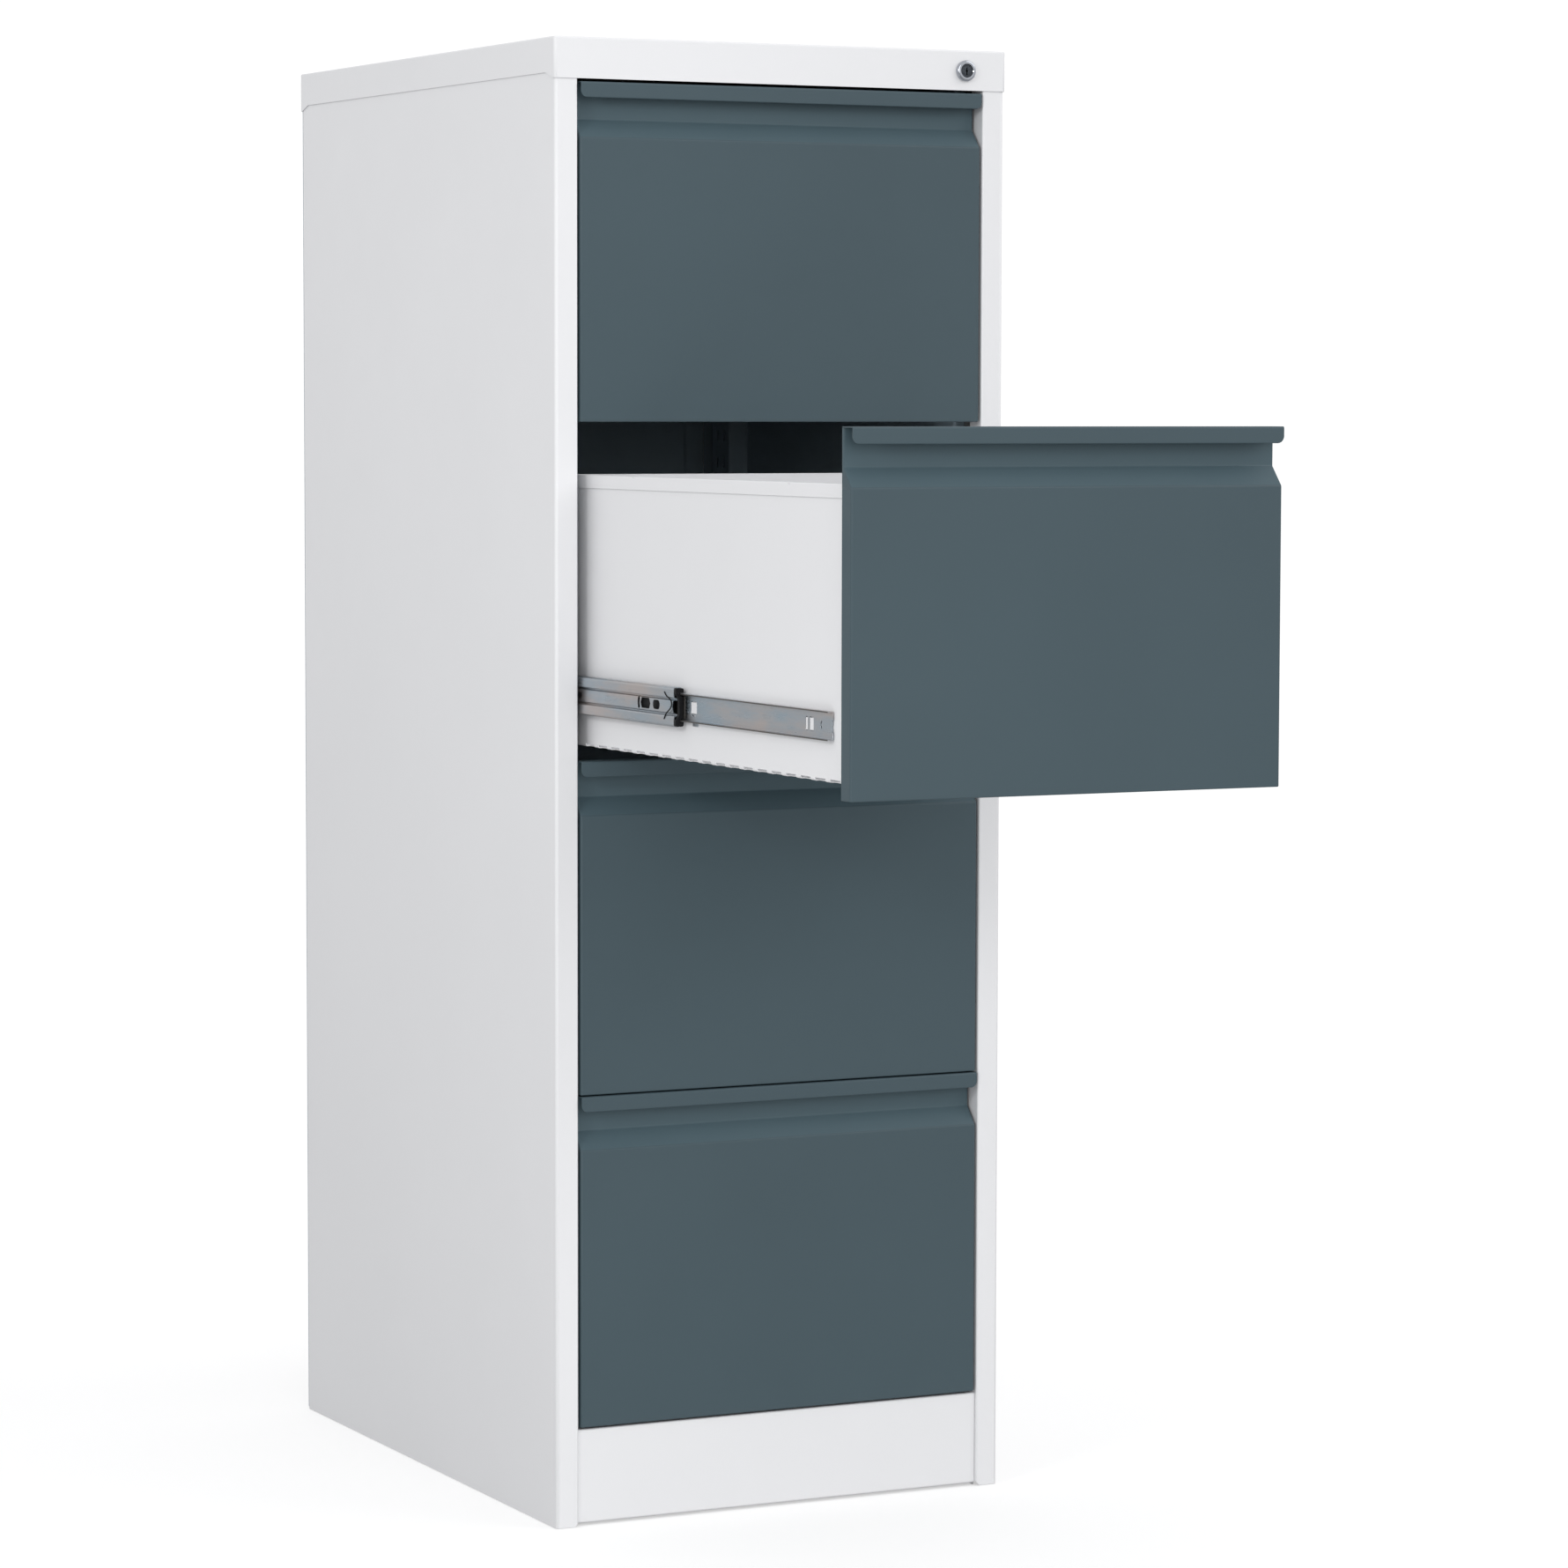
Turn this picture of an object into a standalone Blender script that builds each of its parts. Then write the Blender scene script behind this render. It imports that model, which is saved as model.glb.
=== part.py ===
"""Four-drawer steel filing cabinet, modelled as an assembly of separate folded-sheet parts.

Frame: +Z up, drawers open towards -Y, floor at z = 0, origin under the centre of the whole
object with its second drawer pulled out. Units are metres.
"""

from math import cos, pi, radians, sin, tan

import bmesh
import bpy
from mathutils import Matrix, Vector

# ---------------------------------------------------------------- driving dimensions
WIDTH = 0.452
DEPTH = 0.620
HEIGHT = 1.330

DRAWERS = 4
DRAWER_PITCH = 0.3006
TOP_DRAWER_BOTTOM = 0.9915
OPEN_DRAWER = 2
OPEN_BY = 0.527

SHEET = 0.0007
CLEARANCE = 0.0003

# top cover
COVER_SHEET = 0.0009
FASCIA_BOTTOM = 1.2935
SKIRT_BOTTOM = 1.2988
SKIRT_RAMP = 0.016
COVER_EDGE_RADIUS = 0.0016
COVER_CORNER_RADIUS = 0.0028

# side panels with their front stiles
PANEL_SETBACK = 0.0012
STILE_INNER_X = 0.203
STILE_RETURN = 0.022
STILE_HEM = 0.007
REAR_FLANGE = 0.012
REAR_FLANGE_INSET = 0.0038
PANEL_TOP = 1.3285
BACK_PANEL_INSET = 0.0027
BACK_PANEL_BOTTOM = 0.002

# inside frame
UPRIGHT_SHEET = 0.0012
UPRIGHT_WIDTH = 0.040
UPRIGHT_TOP = 1.3200
FRONT_UPRIGHT_Y = 0.054
REAR_UPRIGHT_Y = 0.535
BASE_Z = 0.0700
BASE_FLANGE = 0.020
BASE_FRONT_INSET = 0.024
BASE_REAR_INSET = 0.005
PLINTH_TOP = 0.0875
PLINTH_BOTTOM = 0.0020
PLINTH_SETBACK = 0.0042
PLINTH_FLANGE = 0.018

# drawer front, a shallow tray of sheet with a pressed finger recess under its lip
FRONT_HALF_WIDTH = 0.2006
FRONT_HEIGHT = 0.2990
FRONT_DEPTH = 0.0175
FRONT_SHEET = 0.0009
FRONT_FLANGE = 0.011
LIP_HEIGHT = 0.0135
LIP_PROUD = 0.0025
LIP_END_RADIUS = 0.0062
RECESS_DEPTH = 0.0142
RECESS_WALL = 0.0185
RECESS_SLOPE = 0.0165

# drawer tray
TRAY_HALF_WIDTH = 0.1900
TRAY_BOTTOM = 0.0120
TRAY_TOP = 0.2535
TRAY_FRONT_Y = 0.0182
TRAY_BACK_Y = 0.5780
TRAY_FRONT_TOP = 0.2850
HEM_HEIGHT = 0.0115
HEM_GAP = 0.0012
HEM_START = 0.006
BACK_INSET = 0.0020
BACK_FLANGE = 0.012

# ball-bearing slides
SLIDE_CENTRE_Z = 0.0580
SLIDE_START_Y = 0.0493
SLIDE_LENGTH = 0.5450
OUTER_SHEET = 0.0012
RUNNER_SHEET = 0.0011
INTERMEDIATE_SHARE = 0.5

# lock
LOCK_X = 0.1840
LOCK_Z = 1.3113
LOCK_BORE = 0.0080
LOCK_BEZEL = 0.0095
LOCK_PROUD = 0.0042
LOCK_CHAMFER = 0.0011
LOCK_LENGTH = 0.0200
LOCK_NUT_RADIUS = 0.0120
LOCK_NUT_HEIGHT = 0.0030
PLUG_RADIUS = 0.0060
PLUG_PLAY = 0.00015
PLUG_SUNK = 0.0008
PLUG_CHAMFER = 0.0005
KEY_SLOT = (0.0012, 0.0080)
KEY_SLOT_DEPTH = 0.004
TAIL_RADIUS = 0.0030
TAIL_PROUD = 0.0005
CAM_RADIUS = 0.0052
CAM_NOSE_RADIUS = 0.0030
CAM_Y = 0.0220
CAM_SHEET = 0.0015
PIN_OFFSET = 0.0050
PIN_RADIUS = 0.0015
PIN_PLAY = 0.00045

# lock bar behind the right stile, its hooks, and the catches on the drawers
BAR_X = 0.2060
BAR_THICKNESS = 0.0020
BAR_FRONT_Y = 0.0260
BAR_BACK_Y = 0.0390
BAR_BOTTOM = 0.2750
CRANK_HALF_HEIGHT = 0.0050
HOOK_TIP_X = 0.1935
HOOK_HEIGHT = 0.0080
HOOK_SHEET = 0.0014
HOOK_RISE = 0.0100
CATCH_Z = 0.1950
CATCH_HEIGHT = 0.0075
CATCH_REACH = 0.0090
CATCH_SHEET = 0.0012
CATCH_PLAY = 0.0007
GUIDE_SHEET = 0.0010
GUIDE_HEIGHT = 0.024

# levelling feet
FOOT_X = 0.195
FOOT_FRONT_Y = 0.048
FOOT_REAR_Y = 0.585

FRONT_Y = -DEPTH / 2
FACE_Y = FRONT_Y + PANEL_SETBACK
PANEL_X = WIDTH / 2 - PANEL_SETBACK
INNER_X = PANEL_X - SHEET
OPEN_Y = OPEN_BY + LIP_PROUD - PANEL_SETBACK
ROUND_STEPS = 32
SIDES = ((-1, "left"), (1, "right"))
OUTWARD = (radians(90), 0.0, 0.0)

PAINT_WHITE = ("paint_white", (0.80, 0.81, 0.82), 0.45, 0.0)
PAINT_SLATE = ("paint_slate", (0.080, 0.112, 0.130), 0.50, 0.0)
ZINC = ("zinc_plate", (0.60, 0.61, 0.63), 0.35, 1.0)
CHROME = ("chrome_plate", (0.75, 0.76, 0.78), 0.12, 1.0)
LOCK_STEEL = ("lock_steel", (0.20, 0.21, 0.22), 0.35, 1.0)
BLACK_PLASTIC = ("black_plastic", (0.02, 0.02, 0.022), 0.5, 0.0)


# ---------------------------------------------------------------- scene helpers
def clear_scene():
    for item in list(bpy.data.objects):
        bpy.data.objects.remove(item, do_unlink=True)


def new_collection(name):
    collection = bpy.data.collections.new(name)
    bpy.context.scene.collection.children.link(collection)
    return collection


def get_material(spec):
    name, colour, roughness, metallic = spec
    material = bpy.data.materials.get(name)
    if material:
        return material
    material = bpy.data.materials.new(name)
    material.use_nodes = True
    shader = material.node_tree.nodes["Principled BSDF"]
    shader.inputs["Base Color"].default_value = (*colour, 1.0)
    shader.inputs["Roughness"].default_value = roughness
    shader.inputs["Metallic"].default_value = metallic
    return material


def new_empty(name, location, parent=None):
    empty = bpy.data.objects.new(name, None)
    PARTS.objects.link(empty)
    empty.location = location
    empty.parent = parent
    return empty


def add_object(name, bm, spec, parent):
    mesh = bpy.data.meshes.new(name)
    bmesh.ops.recalc_face_normals(bm, faces=bm.faces[:])
    bm.to_mesh(mesh)
    bm.free()
    piece = bpy.data.objects.new(name, mesh)
    PARTS.objects.link(piece)
    piece.parent = parent
    mesh.materials.append(get_material(spec))
    return piece


def add_cutter(name, bm, parent):
    mesh = bpy.data.meshes.new(name)
    bmesh.ops.recalc_face_normals(bm, faces=bm.faces[:])
    bm.to_mesh(mesh)
    bm.free()
    cutter = bpy.data.objects.new(name, mesh)
    CUTTERS.objects.link(cutter)
    cutter.parent = parent
    cutter.hide_render = True
    cutter.display_type = "WIRE"
    return cutter


def boolean(piece, cutter, operation="DIFFERENCE"):
    modifier = piece.modifiers.new(operation.title(), "BOOLEAN")
    modifier.operation = operation
    modifier.solver = "EXACT"
    modifier.object = cutter


def solidify(piece, thickness, offset=0.0):
    modifier = piece.modifiers.new("Sheet", "SOLIDIFY")
    modifier.thickness = thickness
    modifier.offset = offset
    modifier.use_even_offset = True


def apply_modifiers(piece):
    """Keep the evaluated shape as the object's own mesh."""
    evaluated = piece.evaluated_get(bpy.context.evaluated_depsgraph_get())
    mesh = bpy.data.meshes.new_from_object(evaluated)
    piece.modifiers.clear()
    piece.data = mesh


def smooth(piece):
    piece.data.shade_smooth()
    piece.data.set_sharp_from_angle(angle=radians(35))


# ---------------------------------------------------------------- shape helpers
def box_bmesh(low, high):
    bm = bmesh.new()
    bmesh.ops.create_cube(bm, size=1.0)
    low, high = Vector(low), Vector(high)
    for vert in bm.verts:
        vert.co = Vector((low[i] + (vert.co[i] + 0.5) * (high[i] - low[i]) for i in range(3)))
    return bm


def fillet(path, radius, steps=2, closed=False):
    """Replace each inner corner of a 2-D path by a tangent arc, as a press brake leaves it."""
    points = [Vector(point) for point in path]
    count = len(points)
    result = []
    for i, point in enumerate(points):
        if not closed and i in (0, count - 1):
            result.append(point)
            continue
        size = radius[i] if isinstance(radius, (list, tuple)) else radius
        before = (points[i - 1] - point).normalized()
        after = (points[(i + 1) % count] - point).normalized()
        half = before.angle(after) / 2
        if size <= 0 or half > pi / 2 - 0.01:
            result.append(point)
            continue
        centre = point + (before + after).normalized() * (size / sin(half))
        first = point + before * (size / tan(half)) - centre
        last = point + after * (size / tan(half)) - centre
        sweep = first.angle_signed(last)
        for step in range(steps + 1):
            angle = -sweep * step / steps
            turned = Vector((first.x * cos(angle) - first.y * sin(angle),
                             first.x * sin(angle) + first.y * cos(angle)))
            result.append(centre + turned)
    return result


def place(point, along, axis):
    """A 2-D path point as a 3-D one: X paths hold (y, z), Y paths (x, z), Z paths (x, y)."""
    if axis == "X":
        return Vector((along, point[0], point[1]))
    if axis == "Y":
        return Vector((point[0], along, point[1]))
    return Vector((point[0], point[1], along))


def folded_sheet(name, path, axis, span, thickness, spec, parent):
    """Sheet metal folded along a centre line and run straight from span[0] to span[1]."""
    bm = bmesh.new()
    verts = [bm.verts.new(place(point, span[0], axis)) for point in path]
    edges = [bm.edges.new(pair) for pair in zip(verts, verts[1:])]
    grown = bmesh.ops.extrude_edge_only(bm, edges=edges)["geom"]
    shift = place((0.0, 0.0), span[1] - span[0], axis)
    bmesh.ops.translate(bm, vec=shift, verts=[g for g in grown if isinstance(g, bmesh.types.BMVert)])
    piece = add_object(name, bm, spec, parent)
    solidify(piece, thickness)
    return piece


def prism_bmesh(outline, axis, span):
    """A closed outline run straight from span[0] to span[1]."""
    bm = bmesh.new()
    verts = [bm.verts.new(place(point, span[0], axis)) for point in outline]
    face = bm.faces.new(verts)
    grown = bmesh.ops.extrude_face_region(bm, geom=[face])["geom"]
    shift = place((0.0, 0.0), span[1] - span[0], axis)
    bmesh.ops.translate(bm, vec=shift, verts=[g for g in grown if isinstance(g, bmesh.types.BMVert)])
    bmesh.ops.recalc_face_normals(bm, faces=bm.faces[:])
    return bm


def cylinder_bmesh(radius, start, end, axis, steps=ROUND_STEPS):
    """A cylinder along X or Y between two points."""
    start, end = Vector(start), Vector(end)
    bm = bmesh.new()
    bmesh.ops.create_cone(bm, cap_ends=True, segments=steps, radius1=radius, radius2=radius,
                          depth=(end - start).length)
    turn = Matrix.Rotation(pi / 2, 3, "Y" if axis == "X" else "X")
    bmesh.ops.rotate(bm, verts=bm.verts[:], matrix=turn)
    bmesh.ops.translate(bm, verts=bm.verts[:], vec=(start + end) / 2)
    return bm


def turned(name, profile, closed, spec, parent):
    """A profile of (radius, height) points, outer side running down, spun about local Z."""
    bm = bmesh.new()
    verts = [bm.verts.new((radius, 0.0, height)) for radius, height in profile]
    for pair in zip(verts, verts[1:]):
        bm.edges.new(pair)
    if closed:
        bm.edges.new((verts[-1], verts[0]))
    piece = add_object(name, bm, spec, parent)
    screw = piece.modifiers.new("Turn", "SCREW")
    screw.steps = ROUND_STEPS
    screw.render_steps = ROUND_STEPS
    screw.use_merge_vertices = True
    screw.merge_threshold = 0.00001
    smooth(piece)
    return piece


def arc(centre, radius, first, last, steps=8):
    """Points on a circle from one angle to another, in degrees."""
    angles = [radians(first + (last - first) * step / steps) for step in range(steps + 1)]
    return [(centre[0] + radius * cos(a), centre[1] + radius * sin(a)) for a in angles]


def delete_faces(bm, test):
    faces = [face for face in bm.faces if test(face)]
    bmesh.ops.delete(bm, geom=faces, context="FACES")


# ---------------------------------------------------------------- carcass
def make_side_panel(name, side):
    """Side, front stile and its return folded from one sheet, with a rear flange."""
    outer = PANEL_X - SHEET / 2
    stile = STILE_INNER_X + SHEET / 2
    front = FACE_Y + SHEET / 2
    rear = DEPTH / 2 - REAR_FLANGE_INSET
    path = [
        (side * (PANEL_X - REAR_FLANGE), rear),
        (side * outer, rear),
        (side * outer, front),
        (side * stile, front),
        (side * stile, front + STILE_RETURN),
        (side * (stile + STILE_HEM), front + STILE_RETURN),
    ]
    path = fillet(path, [0, 0.0012, 0.0026, 0.0012, 0.0012, 0], steps=3)
    folded_sheet(name, path, "Z", (0.0, PANEL_TOP), SHEET, PAINT_WHITE, CABINET)


def make_top_cover():
    """Cap with a skirt all round, whose front skirt is the fascia that holds the lock."""
    half_x, half_y = WIDTH / 2, DEPTH / 2
    bm = box_bmesh((-half_x, -half_y, FASCIA_BOTTOM), (half_x, half_y, HEIGHT))
    upright = [e for e in bm.edges if abs(e.verts[0].co.z - e.verts[1].co.z) > 0.01]
    bmesh.ops.bevel(bm, geom=upright, offset=COVER_CORNER_RADIUS, segments=3, profile=0.5,
                    affect="EDGES")
    rim = [e for e in bm.edges if min(v.co.z for v in e.verts) > HEIGHT - 0.0001]
    bmesh.ops.bevel(bm, geom=rim, offset=COVER_EDGE_RADIUS, segments=2, profile=0.5, affect="EDGES")
    delete_faces(bm, lambda face: face.normal.z < -0.9)
    cover = add_object("top_cover", bm, PAINT_WHITE, CABINET)
    solidify(cover, COVER_SHEET, -1.0)
    low = FASCIA_BOTTOM - 0.002
    ramp_end = half_y - 0.004
    outline = [
        (-ramp_end, low), (ramp_end, low), (ramp_end, FASCIA_BOTTOM),
        (ramp_end - SKIRT_RAMP, SKIRT_BOTTOM), (SKIRT_RAMP - ramp_end, SKIRT_BOTTOM),
        (-ramp_end, FASCIA_BOTTOM),
    ]
    relief = add_cutter("skirt_relief", prism_bmesh(outline, "X", (-WIDTH, WIDTH)), CABINET)
    boolean(cover, relief)
    start = (LOCK_X, FRONT_Y - 0.005, LOCK_Z)
    end = (LOCK_X, FRONT_Y + 0.005, LOCK_Z)
    hole = add_cutter("lock_hole", cylinder_bmesh(LOCK_BORE + CLEARANCE, start, end, "Y"), CABINET)
    boolean(cover, hole)


def make_back_panel():
    half = PANEL_X - CLEARANCE
    y = DEPTH / 2 - BACK_PANEL_INSET
    folded_sheet("back_panel", [(-half, y), (half, y)], "Z", (BACK_PANEL_BOTTOM, PANEL_TOP), SHEET,
                 PAINT_WHITE, CABINET)


def make_base_panel():
    """Floor of the carcass, a pan with its flanges turned down."""
    half = INNER_X - CLEARANCE
    front, rear = FRONT_Y + BASE_FRONT_INSET, DEPTH / 2 - BASE_REAR_INSET
    bm = box_bmesh((-half, front, BASE_Z - BASE_FLANGE), (half, rear, BASE_Z))
    delete_faces(bm, lambda face: face.normal.z < -0.9)
    base = add_object("base_panel", bm, PAINT_WHITE, CABINET)
    solidify(base, SHEET, -1.0)


def make_plinth():
    y = FRONT_Y + PLINTH_SETBACK + SHEET / 2
    top, bottom = PLINTH_TOP - SHEET / 2, PLINTH_BOTTOM + SHEET / 2
    path = fillet([(y + PLINTH_FLANGE, top), (y, top), (y, bottom), (y + PLINTH_FLANGE, bottom)],
                  0.0014)
    half = STILE_INNER_X - CLEARANCE
    folded_sheet("plinth", path, "X", (-half, half), SHEET, PAINT_WHITE, CABINET)


def make_upright(name, side, y):
    """Channel post that carries the slides, open towards the side panel."""
    inner = STILE_INNER_X + UPRIGHT_SHEET / 2
    outer = INNER_X - CLEARANCE
    near, far = y + UPRIGHT_SHEET / 2, y + UPRIGHT_WIDTH - UPRIGHT_SHEET / 2
    path = [(side * outer, near), (side * inner, near), (side * inner, far), (side * outer, far)]
    folded_sheet(name, fillet(path, 0.0018), "Z", (BASE_Z + CLEARANCE, UPRIGHT_TOP),
                 UPRIGHT_SHEET, ZINC, CABINET)


def make_foot(name, side, y):
    """Levelling foot: a threaded stem on a round pad."""
    top = BASE_Z - SHEET - CLEARANCE
    profile = [(0.0, top), (0.0038, top), (0.0038, 0.0100), (0.0095, 0.0100), (0.0105, 0.0090),
               (0.0105, 0.0060), (0.0140, 0.0042), (0.0145, 0.0008), (0.0137, 0.0), (0.0, 0.0)]
    foot = turned(name, profile, False, BLACK_PLASTIC, CABINET)
    foot.location = (side * FOOT_X, FRONT_Y + y, 0.0)


def make_carcass():
    make_top_cover()
    make_back_panel()
    make_base_panel()
    make_plinth()
    for side, word in SIDES:
        make_side_panel(f"side_panel_{word}", side)
        make_upright(f"front_upright_{word}", side, FRONT_Y + FRONT_UPRIGHT_Y)
        make_upright(f"rear_upright_{word}", side, FRONT_Y + REAR_UPRIGHT_Y)
        make_foot(f"levelling_foot_front_{word}", side, FOOT_FRONT_Y)
        make_foot(f"levelling_foot_rear_{word}", side, FOOT_REAR_Y)


# ---------------------------------------------------------------- drawers
def front_outline():
    """Side view of a drawer front as (y, z): lip, finger recess, slope and flat face."""
    lip_bottom = FRONT_HEIGHT - LIP_HEIGHT
    wall_bottom = lip_bottom - RECESS_WALL
    corners = [
        (FRONT_DEPTH, 0.0), (0.0, 0.0), (0.0, wall_bottom - RECESS_SLOPE),
        (RECESS_DEPTH + 0.0006, wall_bottom), (RECESS_DEPTH, lip_bottom),
        (-LIP_PROUD, lip_bottom), (-LIP_PROUD, FRONT_HEIGHT), (FRONT_DEPTH, FRONT_HEIGHT),
    ]
    radii = [0, 0.0016, 0.0050, 0.0030, 0.0012, 0.0024, 0.0014, 0]
    return fillet(corners, radii, steps=3, closed=True)


def lip_corner_cutter(name, side, parent):
    """What is taken off the lip's lower end, leaving a quarter round in front view."""
    low = FRONT_HEIGHT - LIP_HEIGHT
    radius = LIP_END_RADIUS
    centre_x = FRONT_HALF_WIDTH - radius
    curve = [(side * x, z) for x, z in arc((centre_x, low + radius), radius, 0, -90, 6)]
    beyond = FRONT_HALF_WIDTH + 0.004
    outline = [(side * beyond, low + radius)] + curve
    outline += [(side * centre_x, low - 0.002), (side * beyond, low - 0.002)]
    return add_cutter(name, prism_bmesh(outline, "Y", (-0.010, RECESS_DEPTH - 0.0018)), parent)


def make_drawer_front(number, parent):
    bm = prism_bmesh(front_outline(), "X", (-FRONT_HALF_WIDTH, FRONT_HALF_WIDTH))
    front = add_object(f"drawer_front_{number}", bm, PAINT_SLATE, parent)
    for side, word in SIDES:
        boolean(front, lip_corner_cutter(f"lip_corner_{word}_{number}", side, parent))
    apply_modifiers(front)
    bm = bmesh.new()
    bm.from_mesh(front.data)
    back = [face for face in bm.faces if face.normal.y > 0.99 and
            face.calc_center_median().y > FRONT_DEPTH - 0.0001]
    bmesh.ops.inset_region(bm, faces=back, thickness=FRONT_FLANGE, use_even_offset=True)
    bmesh.ops.delete(bm, geom=back, context="FACES")
    bm.to_mesh(front.data)
    bm.free()
    solidify(front, FRONT_SHEET, -1.0)


def extrude_edge(bm, edge, moves):
    """Fold a strip on from a sheet's edge, one move at a time."""
    for move in moves:
        grown = bmesh.ops.extrude_edge_only(bm, edges=[edge])["geom"]
        verts = [g for g in grown if isinstance(g, bmesh.types.BMVert)]
        bmesh.ops.translate(bm, vec=move, verts=verts)
        edge = next(g for g in grown if isinstance(g, bmesh.types.BMEdge) and
                    all(v in verts for v in g.verts))


def make_drawer_tray(number, parent):
    """Floor, sides and front wall in one sheet: hems along both sides, lock catch on the right."""
    half = TRAY_HALF_WIDTH - SHEET / 2
    bm = box_bmesh((-half, TRAY_FRONT_Y, TRAY_BOTTOM), (half, TRAY_BACK_Y, TRAY_TOP))
    delete_faces(bm, lambda face: face.normal.z > 0.9 or face.normal.y > 0.9)
    hem_start = TRAY_FRONT_Y + HEM_START
    bmesh.ops.bisect_plane(bm, geom=bm.verts[:] + bm.edges[:] + bm.faces[:],
                           plane_co=(0.0, hem_start, 0.0), plane_no=(0.0, 1.0, 0.0))
    rims = [e for e in bm.edges if min(v.co.z for v in e.verts) > TRAY_TOP - 0.0001]
    for edge in rims:
        middle = (edge.verts[0].co + edge.verts[1].co) / 2
        if middle.y < TRAY_FRONT_Y + 0.0001:
            extrude_edge(bm, edge, [(0.0, 0.0, TRAY_FRONT_TOP - TRAY_TOP)])
        elif middle.y > hem_start:
            side = 1.0 if middle.x > 0 else -1.0
            extrude_edge(bm, edge, [(side * HEM_GAP, 0.0, 0.0), (0.0, 0.0, -HEM_HEIGHT)])
    tray = add_object(f"drawer_tray_{number}", bm, PAINT_WHITE, parent)
    solidify(tray, SHEET)
    near = FRONT_Y + BAR_BACK_Y + CATCH_PLAY - FACE_Y
    catch = box_bmesh((half, near, CATCH_Z),
                      (TRAY_HALF_WIDTH + CATCH_REACH, near + CATCH_SHEET, CATCH_Z + CATCH_HEIGHT))
    boolean(tray, add_cutter(f"lock_catch_{number}", catch, parent), "UNION")


def make_drawer_back(number, parent):
    half = TRAY_HALF_WIDTH - SHEET * 1.5 - CLEARANCE
    y = TRAY_BACK_Y - BACK_INSET
    path = [(-half, y - BACK_FLANGE), (-half, y), (half, y), (half, y - BACK_FLANGE)]
    low = TRAY_BOTTOM + SHEET / 2 + CLEARANCE
    folded_sheet(f"drawer_back_{number}", fillet(path, 0.0012), "Z", (low, TRAY_TOP), SHEET,
                 PAINT_WHITE, parent)


# ---------------------------------------------------------------- slides
# Sections are (depth from the upright's face, height from the slide's centre line).
OUTER_SECTION = [(0.0099, 0.0186), (0.0099, 0.0219), (0.0006, 0.0219)]
MIDDLE_SECTION = [(0.0098, 0.0142), (0.0098, 0.0167), (0.0025, 0.0167), (0.0025, 0.0072),
                  (0.0046, 0.0060)]
INNER_SECTION = [(0.0064, 0.0092), (0.0064, 0.0114), (0.0117, 0.0114)]


def make_slide_member(name, section, side, thickness, start, parent):
    """One member of a slide, its half section mirrored about the centre line."""
    whole = section + [(depth, -height) for depth, height in reversed(section)]
    face = STILE_INNER_X - CLEARANCE
    path = [(side * (face - depth), height) for depth, height in fillet(whole, 0.0009)]
    folded_sheet(name, path, "Y", (start, start + SLIDE_LENGTH), thickness, ZINC, parent)


def make_slides(number, drawer, opening):
    z = drawer.location.z + SLIDE_CENTRE_Z
    middle_y = FACE_Y + SLIDE_START_Y - opening * INTERMEDIATE_SHARE
    fixed = new_empty(f"slide_fixed_{number}", (0.0, FACE_Y + SLIDE_START_Y, z), CABINET)
    middle = new_empty(f"slide_middle_{number}", (0.0, middle_y, z), CABINET)
    moving = new_empty(f"slide_moving_{number}", (0.0, SLIDE_START_Y, SLIDE_CENTRE_Z), drawer)
    for side, word in SIDES:
        make_slide_member(f"slide_outer_{word}_{number}", OUTER_SECTION, side, OUTER_SHEET, 0.0, fixed)
        make_slide_member(f"slide_middle_{word}_{number}", MIDDLE_SECTION, side, RUNNER_SHEET, 0.0,
                          middle)
        make_slide_member(f"slide_inner_{word}_{number}", INNER_SECTION, side, RUNNER_SHEET, 0.0,
                          moving)


def drawer_bottom(number):
    return TOP_DRAWER_BOTTOM - (number - 1) * DRAWER_PITCH


def make_drawer(number):
    """A drawer hangs on an empty at its face's bottom edge, moved along -Y as it opens."""
    opening = OPEN_BY if number == OPEN_DRAWER else 0.0
    drawer = new_empty(f"drawer_{number}", (0.0, FACE_Y - opening, drawer_bottom(number)), CABINET)
    make_drawer_front(number, drawer)
    make_drawer_tray(number, drawer)
    make_drawer_back(number, drawer)
    make_slides(number, drawer, opening)


# ---------------------------------------------------------------- lock
def make_lock():
    """Barrel lock whose cam pin lowers a bar with one hook for each drawer."""
    axis = new_empty("lock_axis", (LOCK_X, FRONT_Y, LOCK_Z), CABINET)
    make_lock_body(axis)
    make_lock_plug(axis)
    make_lock_nut(axis)
    make_lock_cam(axis)
    make_lock_bar()
    make_lock_bar_guide()
    for number in range(1, DRAWERS + 1):
        make_lock_hook(number)


def make_lock_body(axis):
    bore = PLUG_RADIUS + PLUG_PLAY
    body = turned("lock_body", [
        (bore, LOCK_PROUD), (LOCK_BEZEL - LOCK_CHAMFER, LOCK_PROUD),
        (LOCK_BEZEL, LOCK_PROUD - LOCK_CHAMFER), (LOCK_BEZEL, CLEARANCE), (LOCK_BORE, CLEARANCE),
        (LOCK_BORE, -LOCK_LENGTH), (bore, -LOCK_LENGTH)], True, CHROME, axis)
    body.rotation_euler = OUTWARD


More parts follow.
